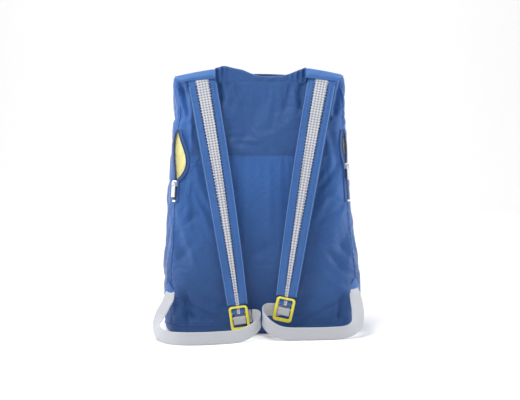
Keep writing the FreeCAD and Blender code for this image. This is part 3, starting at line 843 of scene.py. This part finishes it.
def band(name, centres, acrosses, widths, thick, material, columns=24, relief=None, facing=None):
    """A closed flat band. relief(u from -1 to 1, distance along) raises its outward face.

    The outward face is on the side that facing points to.
    """
    centres = np.array(centres, float)
    tangents = unit(np.gradient(centres, axis=0))
    acrosses = np.array(acrosses, float)
    acrosses = unit(acrosses - tangents * np.sum(acrosses * tangents, axis=1, keepdims=True))
    faces = np.cross(acrosses, tangents)
    if facing is not None:
        faces *= np.sign(np.sum(faces * np.array(facing), axis=1, keepdims=True))
    along = lengths_along(centres)
    share = np.linspace(-1, 1, columns)
    edge = np.clip(1 - np.abs(share) ** 14, 0, 1) ** 0.5
    rows, flats = [], []
    for n, (centre, across, face, width) in enumerate(zip(centres, acrosses, faces, widths)):
        raised = np.zeros(columns) if relief is None else relief(share, along[n])
        upper = centre + across * (share * width / 2)[:, None] + face * ((thick / 2 + raised) * edge)[:, None]
        lower = centre + across * (share * width / 2)[:, None] - face * (thick / 2 * edge)[:, None]
        rows.append(np.vstack([upper, lower[::-1][1:-1]]))
        us = np.concatenate([share, share[::-1][1:-1], share[:1]]) * width / 2
        flats.append(np.stack([us, np.full(len(us), along[n])], axis=1))
    made = grid_object(name, np.array(rows), np.array(flats), material, closed=True)
    edit_mesh(made, close_ends)
    return made


def close_ends(mesh):
    """Cap the open ends of a tube-like mesh and make its faces look outward."""
    bmesh.ops.holes_fill(mesh, edges=[e for e in mesh.edges if e.is_boundary], sides=0)
    bmesh.ops.recalc_face_normals(mesh, faces=mesh.faces)


def weld(mesh):
    """Join the points that coincide and make the faces look outward."""
    bmesh.ops.remove_doubles(mesh, verts=mesh.verts, dist=1e-6)
    bmesh.ops.recalc_face_normals(mesh, faces=mesh.faces)


def tube(name, centres, radius, material, around=8, flatten=1.0, swell=None):
    """A round or oval cord along a path; swell(distance along) scales its radius."""
    centres = np.array(centres, float)
    tangents = unit(np.gradient(centres, axis=0))
    guide = np.array([0.0, 0.0, 1.0]) if abs(tangents[:, 2].mean()) < 0.8 else np.array([0.0, 1.0, 0.0])
    sides = unit(np.cross(tangents, guide))
    ups = np.cross(sides, tangents)
    along = lengths_along(centres)
    turn = np.linspace(0, 2 * math.pi, around, endpoint=False)
    rows, flats = [], []
    for n, centre in enumerate(centres):
        r = radius * (1.0 if swell is None else swell(along[n]))
        rows.append(
            centre + sides[n] * (r * np.cos(turn))[:, None] + ups[n] * (r * flatten * np.sin(turn))[:, None]
        )
        us = np.linspace(0, 2 * math.pi * radius, around + 1)
        flats.append(np.stack([us, np.full(around + 1, along[n])], axis=1))
    made = grid_object(name, np.array(rows), np.array(flats), material, closed=True)
    edit_mesh(made, close_ends)
    return made


def stitch_row(name, centres, normals, material, pitch=0.003, length=0.0021, radius=0.0003, lift=0.0002):
    """One mesh of short raised stitches along a line that lies on cloth."""
    centres, normals = np.array(centres, float), np.array(normals, float)
    along = lengths_along(centres)
    points, faces = [], []
    for start in np.arange(pitch / 2, along[-1] - length, pitch):
        first = len(points)
        for share, size in ((0.0, 0.35), (0.2, 0.9), (0.5, 1.0), (0.8, 0.9), (1.0, 0.35)):
            d = start + share * length
            centre = np.array([np.interp(d, along, centres[:, k]) for k in range(3)])
            normal = unit(np.array([np.interp(d, along, normals[:, k]) for k in range(3)]))
            ahead = np.array([np.interp(d + 1e-4, along, centres[:, k]) for k in range(3)])
            side = unit(np.cross(normal, ahead - centre))
            middle = centre + normal * (lift + radius * math.sin(math.pi * share) * 0.6)
            for turn in range(6):
                a = math.pi * turn / 3
                points.append(middle + (side * math.cos(a) + normal * math.sin(a)) * radius * size)
        for ring_number in range(4):
            for turn in range(6):
                a = first + ring_number * 6 + turn
                b = first + ring_number * 6 + (turn + 1) % 6
                faces.append((a, b, b + 6, a + 6))
        faces.append(tuple(first + turn for turn in range(5, -1, -1)))
        faces.append(tuple(first + 24 + turn for turn in range(6)))
    return make_object(name, points, faces, material)


# ---- shoulder straps -------------------------------------------------------------------
def strap_point(side, t):
    swell = 4 * t * (1 - t)
    end = STRAP_END[side]
    x = STRAP_TOP[0] + (end[0] - STRAP_TOP[0]) * t - STRAP_PINCH * swell
    y = STRAP_TOP[1] + (end[1] - STRAP_TOP[1]) * t - STRAP_BOW[side] * swell
    z = STRAP_TOP[2] + (end[2] - STRAP_TOP[2]) * t
    return np.array([SIDES[side] * x, y, z])


def strap_axes(side, t):
    """(tangent, across, outward) of the strap; outward points away from the bag."""
    tangent = unit(strap_point(side, t + 1e-3) - strap_point(side, t - 1e-3))
    across = np.array([1.0, 0.0, 0.0])
    across = unit(across - tangent * (across @ tangent))
    outward = np.cross(across, tangent)
    return tangent, across, outward if outward[1] < 0 else -outward


def through(values, t):
    """A quadratic through three values at t = 0, 0.5 and 1."""
    first, middle, last = values
    return first + (4 * middle - 3 * first - last) * t + 2 * (first - 2 * middle + last) * t * t


def strap_relief(share, along):
    """Stitched channels near both edges, puckers beside them, and a slack middle."""
    edge_seam = np.exp(-((np.abs(share) - 0.84) / 0.035) ** 2)
    stripe_seam = np.exp(-((np.abs(share) - 0.58) / 0.05) ** 2)
    pucker = 0.00025 * math.sin(along * 2 * math.pi / 0.011 + 2 * math.sin(along * 40))
    loose = 0.0004 * np.cos(share * math.pi / 2) * math.sin(along * 55 + 1.0)
    return -0.0007 * edge_seam - 0.0003 * stripe_seam + pucker * np.abs(share) + loose


def beside(centres, axes, widths, edge, out, up):
    """A line beside one edge of a band: out past the edge, up above its middle surface."""
    return np.array([c + a[1] * edge * (w / 2 + out) + a[2] * up for c, a, w in zip(centres, axes, widths)])


def edge_name(side, edge):
    """Which edge of a strap it is, seen from the middle of the bag."""
    return ("outer_" if edge * SIDES[side] > 0 else "inner_") + side


def make_strap(side):
    """The padded strap, with its stitching, its piping in a lighter blue that is partly painted highlight,
    and a navy tube behind each edge that is painted shadow.
    """
    body = "strap_" + side
    ts = np.linspace(-0.014, 1, 170)
    centres = [strap_point(side, t) for t in ts]
    axes = [strap_axes(side, t) for t in ts]
    outwards = np.array([a[2] for a in axes])
    widths = [through(STRAP_WIDTHS, t) for t in ts]
    cloth = band(
        "strap_cloth_" + side, centres, [a[1] for a in axes], widths, STRAP_THICK,
        STRAP_BLUE, 48, strap_relief, outwards,
    )
    fit(cloth, body, ["shoulder_strap_" + side])

    for edge in (-1, 1):
        line = beside(centres, axes, widths, edge, -0.0034, STRAP_THICK / 2 - 0.0006)
        row = stitch_row("strap_stitches_" + edge_name(side, edge), line[3:-3], outwards[3:-3], THREAD)
        fit(row, body)
    # the navy tubes tucked under the edges are painted shadow
    for kind, out, up, radius, material in (
        ("piping", -0.0006, 0.0008, 0.0011, LIT_PIPING), ("painted_shadow", 0.0004, -0.0014, 0.0013, PAINTED_SHADOW),
    ):
        for edge in (-1, 1):
            line = beside(centres, axes, widths, edge, out, up)
            piece = tube("strap_%s_%s" % (kind, edge_name(side, edge)), line[5:], radius, material, 10)
            fit(piece, body)
    end_t = 0.985
    middle, (_, across, outward) = strap_point(side, end_t), strap_axes(side, end_t)
    for n, rise in enumerate((0.0, 0.0025)):
        up = -strap_axes(side, end_t)[0] * rise
        line = [middle + across * x + outward * 0.0015 + up for x in np.linspace(-0.0135, 0.0135, 30)]
        row = stitch_row("strap_end_stitches_%d_%s" % (n, side), line, [outward] * 30, THREAD, 0.0024, 0.0018)
        fit(row, body)


def make_stripe(side):
    """The knitted stripe, its edges serrated where the mesh is cut and bound down."""
    ts = np.linspace(-0.012, 1, 420)
    axes = [strap_axes(side, t) for t in ts]
    lift = STRAP_THICK / 2 + 0.0007
    centres = np.array([strap_point(side, t) + a[2] * lift for t, a in zip(ts, axes)])
    along = lengths_along(centres)
    tooth = np.abs(((along / STRIPE_TOOTH) % 1.0) - 0.5) * 2
    widths = np.array([through(STRIPE_WIDTHS, t) for t in ts])
    widths = widths + (0.0014 - 0.0040 * (1 - tooth)) * np.clip(widths / 0.012, 0.2, 1)
    outwards = np.array([a[2] for a in axes])

    def knit(share, distance):
        weave = np.sin(share * 14) * math.sin(distance * 2 * math.pi / 0.0038)
        return 0.00012 * weave

    stripe = band(
        "stripe_mesh_" + side, centres, [a[1] for a in axes], widths, 0.0009, MESH, 20, knit, outwards,
    )
    fit(stripe, "strap_" + side, ["mesh_stripe_" + side])
    full = np.array([through(STRIPE_WIDTHS, t) for t in ts])
    for edge in (-1, 1):
        line = beside(centres, axes, full, edge, 0.0002, -0.0006)
        name = "stripe_stitches_" + edge_name(side, edge)
        row = stitch_row(name, line[8:-20], outwards[8:-20], NAVY_THREAD, STRIPE_TOOTH, 0.0028, 0.0012, 0.0)
        fit(row, "strap_" + side)


# ---- buckles ---------------------------------------------------------------------------
def buckle_axes(side):
    """(origin, along the bars, inward, up) of a buckle, at its loop bar."""
    lean = math.radians(BUCKLE_LEAN[side])
    along = np.array([math.cos(lean), 0, -SIDES[side] * math.sin(lean)])
    tangent = strap_axes(side, 1)[0]
    origin = strap_point(side, 1) + tangent * BAR_DROP + np.array([0, -BAR_FORWARD, 0])
    up = unit(-tangent + along * (along @ tangent))
    return origin, along, np.cross(up, along), up


def hang(side, local):
    """Points in a buckle's own (along, inward, up) frame, placed in the row frame."""
    origin, along, inward, up = buckle_axes(side)
    local = np.array(local, float)
    return origin + local[..., :1] * along + local[..., 1:2] * inward + local[..., 2:] * up


def rounded_outline(half, low, high, radius, count=16):
    """A rounded rectangle of (x, z) points, the same number of them at any size."""
    points = []
    corners = [(half, high, 0), (-half, high, 90), (-half, low, 180), (half, low, 270)]
    for x, z, start in corners:
        cx, cz = x - math.copysign(radius, x), z - (radius if z == high else -radius)
        for n in range(count):
            a = math.radians(start + 90 * n / (count - 1))
            points.append((cx + radius * math.cos(a), cz + radius * math.sin(a)))
    return np.array(points)


def make_buckle(side):
    """A moulded ladder lock: a soft-edged frame, two bars, and a toothed lip."""
    body = "buckle_" + side
    outer = rounded_outline(0.015, -BUCKLE_BELOW, BUCKLE_ABOVE, 0.0055)
    inner = rounded_outline(0.0108, -0.0225, 0.0080, 0.0022)
    turn = np.linspace(0, 2 * math.pi, 20, endpoint=False)
    rows = []
    for (ox, oz), (ix, iz) in zip(outer, inner):
        middle = np.array([(ox + ix) / 2, (oz + iz) / 2])
        reach = np.array([(ox - ix) / 2, (oz - iz) / 2])
        c = np.sign(np.cos(turn)) * np.abs(np.cos(turn)) ** 0.62
        s = np.sign(np.sin(turn)) * np.abs(np.sin(turn)) ** 0.62
        flat = middle + reach * c[:, None]
        thick = 0.0014 if oz > BUCKLE_ABOVE - 0.004 and abs(ox) < 0.011 else 0.0019
        depth = -0.0011 - 0.0003 * (thick < 0.0015) + thick * s
        rows.append(np.stack([flat[:, 0], depth, flat[:, 1]], axis=1))
    rows.append(rows[0])
    flats = np.zeros((len(rows), len(turn) + 1, 2))
    frame_piece = grid_object("buckle_frame_" + side, hang(side, np.array(rows)), flats, YELLOW, closed=True)
    edit_mesh(frame_piece, weld)
    fit(frame_piece, body, ["ladder_lock_" + side])

    for name, z, radius in (("loop", 0.0, 0.0013), ("centre", -CENTRE_BAR_DROP, 0.0014)):
        path = hang(side, [(x, 0, z) for x in np.linspace(-0.0117, 0.0117, 12)])
        bar = tube("buckle_%s_bar_%s" % (name, side), path, radius, YELLOW, 14)
        fit(bar, body)
    for n, x in enumerate(np.linspace(-0.0088, 0.0088, 9)):
        path = hang(side, [(x, -0.0027, z) for z in np.linspace(-0.0268, -0.0222, 8)])
        tooth = tube("buckle_tooth_%d_%s" % (n, side), path, 0.00055, YELLOW)
        fit(tooth, body)
    for edge in (-1, 1):
        for n, z in enumerate(np.linspace(-0.0190, -0.0050, 7)):
            path = hang(side, [(edge * x, -0.0029, z) for x in np.linspace(0.0112, 0.0136, 6)])
            name = "buckle_rib_%s%d_%s" % ("ab"[edge > 0], n, side)
            rib = tube(name, path, 0.00045, YELLOW)
            fit(rib, body)


def wrap_path(side, radius, z, front_reach, back_reach):
    """A path over a bar: up from the front, over it, and down behind it."""
    front = [(0, -radius, z - front_reach * (1 - n / 8)) for n in range(8)]
    over = []
    for a in np.linspace(0, math.pi, 15):
        over.append((0, -radius * math.cos(a), z + radius * math.sin(a)))
    back = [(0, radius, z - back_reach * n / 8) for n in range(1, 9)]
    return hang(side, front + over + back)


def make_strap_loop(side):
    """The strap's stitched end: behind the top bar, round the loop bar and up its face."""
    along = buckle_axes(side)[1]
    tangent = strap_axes(side, 1)[0]
    start = strap_point(side, 1) - tangent * 0.001
    path = [start + np.array([0, -0.0002, 0])]
    radius = 0.00225
    path += list(hang(side, [(0, radius, z) for z in (0.010, 0.006, 0.003, 0.0)]))
    for n in range(1, 11):
        a = math.pi * n / 11
        path += list(hang(side, [(0, radius * math.cos(a), -radius * math.sin(a))]))
    path += list(hang(side, [(0, -radius, 0.0), (0, -0.0015, 0.003),
                             (0, 0.0006, 0.0062), (0, 0.0010, 0.0092)]))
    centres, = dense_path(path, 0.0006)
    acrosses = [along] * len(centres)
    widths = [LOOP_WIDTH] * len(centres)
    loop = band("loop_cloth_" + side, centres, acrosses, widths, 0.0010, STRAP_BLUE, 24)
    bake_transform(loop)
    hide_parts("strap_loop_" + side)
    tape_path = [start - tangent * 0.0015 + np.array([0, -0.0022, 0])]
    tape_path += list(hang(side, [(0, 0.0008, 0.0125), (0, 0.0010, 0.0095), (0, 0.0003, 0.0065)]))
    tape_path += list(hang(side, [(0, -0.0019, 0.0035), (0, -0.0029, 0.0005), (0, -0.0026, -0.0016)]))
    centres, = dense_path(tape_path, 0.0006)
    acrosses = [along] * len(centres)
    widths = [0.0046] * len(centres)
    tape = band("loop_tape_" + side, centres, acrosses, widths, 0.0006, MESH, 12)
    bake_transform(tape)


def make_webbing_fold(side):
    """The webbing over the centre bar, its short end down the face of the buckle."""
    along = buckle_axes(side)[1]
    radius = 0.00225
    path = wrap_path(side, radius, -CENTRE_BAR_DROP, 0.009, 0.011)
    centres, = dense_path(path, 0.0006)
    fold = band(
        "fold_webbing_" + side, centres, [along] * len(centres), [LOOP_WIDTH] * len(centres),
        WEBBING_THICK, WEBBING, 24,
    )
    fit(fold, "buckle_" + side, ["webbing_fold_" + side])


# ---- lower webbing ---------------------------------------------------------------------
TURN_RADIUS = 0.014
TURN_BEHIND = 0.0085
TURN_RISE = {"left": 0.016, "right": 0.012}
FLOOR_Z = 0.0104
ON_EDGE = (0, 0, 1)
WEBBING_ROUTES = {
    "left": [
        ((-0.009, -0.086, 0.033), ON_EDGE),
        ((-0.003, -0.095, 0.031), ON_EDGE),
        ((-0.004, -0.107, 0.026), ON_EDGE),
        ((-0.014, -0.120, 0.018), ON_EDGE),
        ((-0.034, -0.133, 0.011), ON_EDGE),
        ((-0.072, -0.148, FLOOR_Z), ON_EDGE),
        ((-0.118, -0.153, FLOOR_Z), ON_EDGE),
        ((-0.148, -0.138, FLOOR_Z), ON_EDGE),
        ((-0.162, -0.114, 0.016), (0.3, 0, 1)),
        ((-0.161, -0.096, 0.029), (0.9, 0, 0.6)),
        ((-0.154, -0.081, 0.044), (1, 0, 0.3)),
        ((-0.148, -0.0680, 0.054), (0.95, -0.3, 0.15)),
    ],
    "right": [
        ((0.009, -0.086, 0.043), ON_EDGE),
        ((0.002, -0.096, 0.040), ON_EDGE),
        ((0.003, -0.108, 0.032), ON_EDGE),
        ((0.014, -0.117, 0.020), ON_EDGE),
        ((0.034, -0.119, 0.012), ON_EDGE),
        ((0.068, -0.116, FLOOR_Z), ON_EDGE),
        ((0.104, -0.112, FLOOR_Z), ON_EDGE),
        ((0.132, -0.106, 0.012), ON_EDGE),
        ((0.147, -0.097, 0.021), (-0.6, 0, 1)),
        ((0.150, -0.086, 0.038), (-1, 0, 0.35)),
        ((0.148, -0.0685, 0.058), (-0.95, -0.3, 0)),
    ],
}
TAB_Z = {"left": 0.060, "right": 0.066}
TAB_HEIGHT = 0.021
TAB_HALF = 0.018
TAB_ANGLE = math.radians(40)    # of the tab's middle, round the corner from the side


def webbing_stations(side):
    """The quarter turn behind the buckle, the route round to the corner, and the sewn end."""
    origin = buckle_axes(side)[0]
    inward = -SIDES[side]
    centre = origin + np.array([inward * TURN_RADIUS, TURN_BEHIND, TURN_RISE[side] - CENTRE_BAR_DROP])
    centres, acrosses = [], []
    for degrees in (0, 30, 60, 90):
        a = math.radians(degrees)
        spoke = np.array([-inward * math.cos(a), 0, -math.sin(a)])
        centres.append(centre + spoke * TURN_RADIUS)
        acrosses.append(spoke * inward)
    for point, across in WEBBING_ROUTES[side]:
        centres.append(np.array(point))
        acrosses.append(unit(np.array(across, float)))
    centres.append(round_corner(side, TAB_Z[side] + 0.009, TAB_ANGLE, 0.002, 0.0003))
    acrosses.append(np.array([-SIDES[side] * math.sin(TAB_ANGLE), -math.cos(TAB_ANGLE), 0]))
    return centres, acrosses


def make_webbing(side):
    """The adjusting webbing, following the bag at its sewn end and the strap at its buckle."""
    centres, acrosses = webbing_stations(side)
    centres, acrosses = dense_path(centres, 0.0015, acrosses)
    widths = [WEBBING_WIDTH] * len(centres)
    webbing = band("webbing_band_" + side, centres, acrosses, widths, WEBBING_THICK, WEBBING, 24)
    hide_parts("lower_webbing_" + side)
    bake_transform(webbing)


def make_tab(side):
    """A folded triangle of cloth round the bag's corner, over the end of the webbing."""
    rows, flats = [], []
    for height in np.linspace(0, TAB_HEIGHT, 14):
        half = TAB_HALF * (1 - height / TAB_HEIGHT) + 0.0012
        row, flat = [], []
        for share in np.linspace(-1, 1, 16):
            lift = 0.0016 + 0.0006 * math.cos(share * math.pi / 2)
            row.append(round_corner(side, TAB_Z[side] + height, TAB_ANGLE, half * share, lift))
            flat.append((half * share, height))
        rows.append(row)
        flats.append(flat)
    tab = thin_sheet("tab_cloth_" + side, rows, flats, STRAP_BLUE, 0.0014)
    fit(tab, "bag", ["corner_tab_" + side])


# ---- yokes and neck --------------------------------------------------------------------
YOKE_TAPER = {"left": 0.36, "right": 0.20}      # how much a band narrows toward its outer end
YOKE_POINT = {"left": 0.006, "right": 0.013}     # length of its pointed outer end


def profile_row(points, x, spacing, count):
    """A smooth row of count points through a profile at x, and their flat positions."""
    dense, = dense_path(points, spacing)
    spots = np.linspace(0, len(dense) - 1, count)
    row = np.stack([np.interp(spots, np.arange(len(dense)), dense[:, k]) for k in range(3)], axis=1)
    return row, np.stack([np.full(count, x), lengths_along(row)], axis=1)


def yoke_top(side, share):
    """Height of a yoke's folded edge, from the neck (0) to the shoulder's corner (1)."""
    high, low = YOKE_INNER_TOP[side], YOKE_OUTER_TOP[side]
    return high + (low - high) * share + 0.0006 * math.sin(math.pi * share)


def make_yoke(side):
    """A sheet folded over the shoulder, its front edge turned down over the strap."""
    sign = SIDES[side]
    rows, flats = [], []
    inner = NECK_HALF + sign * NECK_MIDDLE
    outer = YOKE_OUTER[side]
    for x in np.linspace(inner - 0.001, outer + 0.001, 60):
        share = (x - inner) / (outer - inner)
        top = yoke_top(side, share)
        deep = YOKE_BAND * (1.04 - YOKE_TAPER[side] * share)
        deep *= 0.45 + 0.55 * min(1.0, max(0.0, (outer + 0.001 - x) / YOKE_POINT[side]))
        ends = min(x - inner + 0.001, outer + 0.001 - x) / 0.006
        round_off = 0.0016 * (1 - min(1.0, ends)) ** 2
        wave = 0.0005 * math.sin(x * 210) + 0.0004 * math.sin(x * 90 + 2)
        open_end = 0.0024 * max(0.0, 1 - (outer - x) / 0.012)
        profile = [
            (YOKE_FACE + 0.0012, top - deep + 0.0012),
            (YOKE_FACE - 0.0014, top - deep),
            (YOKE_FACE - 0.0022 - open_end * 0.3, top - deep * 0.86),
            (YOKE_FACE - 0.0012 + wave - open_end * 0.5, top - deep * 0.60),
            (YOKE_FACE + 0.0010 + wave, top - deep * 0.33),
            (YOKE_FACE + 0.0036, top - 0.0010 - round_off),
            (YOKE_FACE + 0.0068, top - round_off),
            (-0.0250, max(BAG_TOP + 0.0012, top - 0.0012 - (top - BAG_TOP) * 0.22)),
            (-0.0180, max(BAG_TOP + 0.0010, top - (top - BAG_TOP) * 0.62 + wave)),
            (-0.0125, BAG_TOP + 0.0006),
        ]
        points = [(sign * x, y, z) for y, z in profile]
        row, flat = profile_row(points, x, 0.0009, 44)
        rows.append(row)
        flats.append(flat)
    rows = np.array(rows)
    yoke = thin_sheet("yoke_cloth_" + side, rows, flats, LIT_YOKE_BLUE, 0.0008)
    fit(yoke, "bag", ["shoulder_yoke_" + side])
    line = rows[2:-2, 8] + np.array([0, -0.0006, 0])
    row = stitch_row("yoke_stitches_" + side, line, [(0, -1, 0)] * len(line), THREAD, 0.0028, 0.002)
    fit(row, "bag")


# heights of the neck's edge from the left yoke to the right one, gathered at both ends
NECK_LINE = [0.4175, 0.4222, 0.4182, 0.4155, 0.4092, 0.4056, 0.4050, 0.4053, 0.4080, 0.4140, 0.4195]


def hem_top(x):
    """Height of the neck hem's edge, sagging between the yokes."""
    spots = np.linspace(-NECK_HALF, NECK_HALF, len(NECK_LINE))
    near = [x + step for step in (-0.004, -0.002, 0.0, 0.002, 0.004)]
    return float(np.mean(np.interp(near, spots, NECK_LINE)))


def make_neck_hem():
    """The rolled hem across the neck, puckered where it meets the yokes."""
    rows, flats = [], []
    for x in np.linspace(-NECK_HALF, NECK_HALF, 150):
        top = hem_top(x)
        low = BAG_TOP - 0.008
        near = math.exp(-((NECK_HALF - abs(x)) / 0.020) ** 2)
        pucker = near * 0.0034 * math.sin(abs(x) * 760) + 0.0005 * math.sin(x * 310)
        profile = [
            (-0.0290, low - 0.002), (-0.0308 + pucker * 0.5, low + 0.004),
            (-0.0308 + pucker, top - 0.0060), (-0.0305 + pucker, top - 0.0022),
            (-0.0290, top - 0.0002), (-0.0268, top - 0.0004), (-0.0255 + pucker, top - 0.0030),
            (-0.0250, min(BAG_TOP, top) - 0.0030), (-0.0230, low - 0.001),
        ]
        row, flat = profile_row([(x + NECK_MIDDLE, y, z) for y, z in profile], x, 0.0008, 30)
        rows.append(row)
        flats.append(flat)
    # the hem's doubled cloth takes the same painted shade
    hem = thin_sheet("neck_hem_cloth", rows, flats, SHADED_DOUBLE_BLUE, 0.0007)
    fit(hem, "bag", ["neck_hem"])


# ---- zips ------------------------------------------------------------------------------
def zip_half(name, node, edge, away, normal):
    """One stringer: a tape from the line of its teeth outward, with a coil on its edge."""
    edge, away, normal = (np.array(v, float) for v in (edge, away, normal))
    steps = [(0.0, 0.0006), (0.0014, 0.0008), (0.0035, 0.0007), (0.0055, 0.0006), (0.0070, 0.0002)]
    points = np.array([edge + away * out + normal * up for out, up in steps]).transpose(1, 0, 2)
    along = lengths_along(edge)
    flats = np.array([[(out, d) for out, _ in steps] for d in along])
    tape = thin_sheet(name + "_tape", points, flats, TAPE, 0.0007)
    fit(tape, "bag", [node])
    centres, = dense_path(edge + away * 0.0009 + normal * 0.0012, 0.0004)
    coil = tube(
        name + "_coil", centres, 0.0009, COIL, 8, 0.75,
        lambda d: 0.82 + 0.26 * abs(math.sin(math.pi * d / 0.0015)),
    )
    fit(coil, "bag")


def make_side_zip(side):
    length = (SIDE_ZIP_TOP - SIDE_ZIP_BOTTOM) / ZIP_DROP
    stations = np.linspace(0, length, 90)
    for name, way in (("inner", 1), ("outer", -1)):
        edge, beyond, above = [], [], []
        for along in stations:
            spot = way * (lens_gap(side, along, way) + 0.0001)
            edge.append(corner_point(side, along, spot))
            beyond.append(corner_point(side, along, spot + way * 0.001))
            above.append(corner_point(side, along, spot, 0.001))
        edge = np.array(edge)
        zip_half(
            "side_zip_%s_%s" % (name, side), "side_zip_stringer_%s_%s" % (name, side),
            edge, unit(np.array(beyond) - edge), unit(np.array(above) - edge),
        )


def make_main_zip():
    length = MAIN_MOUTH + MAIN_TAIL
    stations = np.linspace(0, length, 140)
    for name, way in (("front", -1), ("rear", 1)):
        edge = []
        for along in stations:
            t = np.clip(along / MAIN_MOUTH, 0, 1)
            gap = MAIN_MOUTH_HALF * 4 * t * (1 - t) if along < MAIN_MOUTH else 0.0
            edge.append((MAIN_ZIP_START + along, MAIN_ZIP_Y + way * (gap + 0.0001), BAG_TOP))
        edge = np.array(edge)
        edge[:, 2] -= neck_sag(edge)
        away = np.tile((0.0, way, 0.0), (len(edge), 1))
        normal = np.tile((0.0, 0.0, 1.0), (len(edge), 1))
        zip_half("main_zip_" + name, "main_zip_stringer_" + name, edge, away, normal)


def make_lining(side):
    """The pocket's thin lining, hanging slack behind the open zip."""
    deep = {"left": 0.006, "right": 0.004}[side]
    reach = SIDE_MOUTH[side]
    rows, flats = [], []
    for along in np.linspace(-0.004, reach + 0.004, 60):
        front = lens_gap(side, along, 1)
        rear = lens_gap(side, along, -1)
        row, flat = [], []
        for share in np.linspace(0, 1, 30):
            across = (front + rear + 0.009) * share - rear - 0.0045
            trough = (4 * share * (1 - share)) ** 0.8 * (front + rear) / (2 * SIDE_MOUTH_HALF[side])
            fold = 0.0006 * math.sin(along * 260 + share * 10)
            lift = -0.0016 - deep * trough + fold * trough
            row.append(corner_point(side, along, across, lift))
            flat.append((across, along))
        rows.append(row)
        flats.append(flat)
    lining = thin_sheet("lining_cloth_" + side, rows, flats, YELLOW_CLOTH, 0.0004)
    fit(lining, "bag", ["pocket_lining_" + side])


def soften(node, width, material):
    """Keep a CAD node, with its edges broken by a small bevel."""
    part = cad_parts[node]
    bevel = part.modifiers.new("broken edges", "BEVEL")
    bevel.width = width
    bevel.segments = 3
    bevel.limit_method = "ANGLE"
    bevel.angle_limit = math.radians(35)
    part.data.materials.clear()
    part.data.materials.append(material)


def make_zip_hardware():
    for name in ("main_zip", "side_zip"):
        for end in ([""] if name == "main_zip" else ["_left", "_right"]):
            soften(name + "_slider" + end, 0.0004, METAL)
            soften(name + "_stop" + end, 0.0003, METAL)
            soften(name + "_pull" + end, 0.0004, PULL)


# ---- seams -----------------------------------------------------------------------------
def make_seams(surface):
    """Rolled seams down the corners and round the base, and the stitching along the pocket seam."""
    first = BASE_ROWS + EDGE_ROWS
    wall = surface[first:first + WALL_ROWS]
    for name, column in SEAM_COLUMNS.items():
        line = wall[:, column]
        pieces = {"": line}
        if name.startswith("harness"):
            pieces = {
                "_low": line[line[:, 2] < SIDE_ZIP_BOTTOM - 0.002],
                "_high": line[line[:, 2] > SIDE_ZIP_TOP + 0.002],
            }
        for part, points in pieces.items():
            centres, = dense_path(points, 0.002)
            fit(tube("seam_" + name + part, centres, 0.0009, BLUE), "bag")
    centres = np.vstack([wall[0], wall[0, :1]])
    fit(tube("seam_base", centres, 0.0010, BLUE), "bag")
    nearest = int(np.argmin(np.abs(wall[:, FLAT_COLUMNS // 2, 2] - POCKET_SEAM)))
    line = wall[nearest, 1:FLAT_COLUMNS]
    row = stitch_row("pocket_stitches", line, [(0, -1, 0)] * len(line), THREAD)
    fit(row, "bag")


# ---- stage, light and camera -------------------------------------------------------------
def make_stage():
    """A plain white sweep: floor and backdrop in one."""
    rows, flats = [], []
    profile = [(-3.0, 0.0), (0.5, 0.0), (1.6, 0.0)]
    profile += [(1.6 + 0.8 * math.sin(a), 0.8 - 0.8 * math.cos(a)) for a in np.linspace(0.1, math.pi / 2, 12)]
    profile += [(2.4, 3.5)]
    for y, z in profile:
        rows.append([(x, y, z) for x in np.linspace(-4, 4, 9)])
        flats.append([(x, y + z) for x in np.linspace(-4, 4, 9)])
    s = Shader("studio_floor")
    grain = s.noise(s.coordinates("Object"), 300.0, 2.0)
    paper = s.ramp(grain, [(0.3, (0.93, 0.93, 0.93)), (0.7, (0.96, 0.96, 0.96))])
    s.link(paper, s.surface.inputs["Base Color"])
    s.fixed(Roughness=0.9, Specular_IOR_Level=0.1)
    floor = grid_object("studio_sweep", np.array(rows), np.array(flats), s.material)


def make_light(name, place, aim, size, power, colour=(1, 1, 1)):
    data = bpy.data.lights.new(name, "AREA")
    data.shape = "RECTANGLE"
    data.size, data.size_y = size
    data.energy = power
    data.color = colour
    lamp = bpy.data.objects.new(name, data)
    lamp.location = place
    lamp.rotation_euler = (Vector(aim) - Vector(place)).to_track_quat("-Z", "Y").to_euler()
    bpy.context.scene.collection.objects.link(lamp)


def make_studio():
    scene = bpy.context.scene
    world = bpy.data.worlds.new("studio")
    scene.world = world
    world.use_nodes = True
    world.node_tree.nodes["Background"].inputs["Color"].default_value = (1, 1, 1, 1)
    world.node_tree.nodes["Background"].inputs["Strength"].default_value = 0.55
    make_light("key", (-0.7, -0.9, 2.1), (0, 0, 0.25), (0.8, 0.8), 26)
    make_light("left edge", (-1.7, 0.1, 0.7), (0, 0, 0.2), (0.7, 1.4), 12)
    make_light("right edge", (1.7, 0.1, 0.7), (0, 0, 0.2), (0.7, 1.4), 15)
    make_light("top", (0, 0.5, 2.2), (0, 0, 0.2), (1.4, 1.4), 16)
    scene.view_settings.view_transform = "Standard"
    scene.view_settings.look = "None"


def make_camera():
    elevation = math.radians(6)
    distance = 2.2
    target = Vector((-0.003, 0, 0.206))
    data = bpy.data.cameras.new("camera")
    data.lens = 94.4
    data.sensor_width = 36
    camera = bpy.data.objects.new("camera", data)
    camera.location = target + Vector((0, -distance * math.cos(elevation), distance * math.sin(elevation)))
    camera.rotation_euler = (target - camera.location).to_track_quat("-Z", "Y").to_euler()
    bpy.context.scene.collection.objects.link(camera)
    bpy.context.scene.camera = camera


surface = make_bag()
make_seams(surface)
make_neck_hem()
make_main_zip()
for side in SIDES:
    make_yoke(side)
    make_strap(side)
    make_stripe(side)
    make_strap_loop(side)
    make_buckle(side)
    make_webbing_fold(side)
    make_webbing(side)
    make_tab(side)
    make_side_zip(side)
    make_lining(side)
make_zip_hardware()
make_stage()
make_studio()
make_camera()
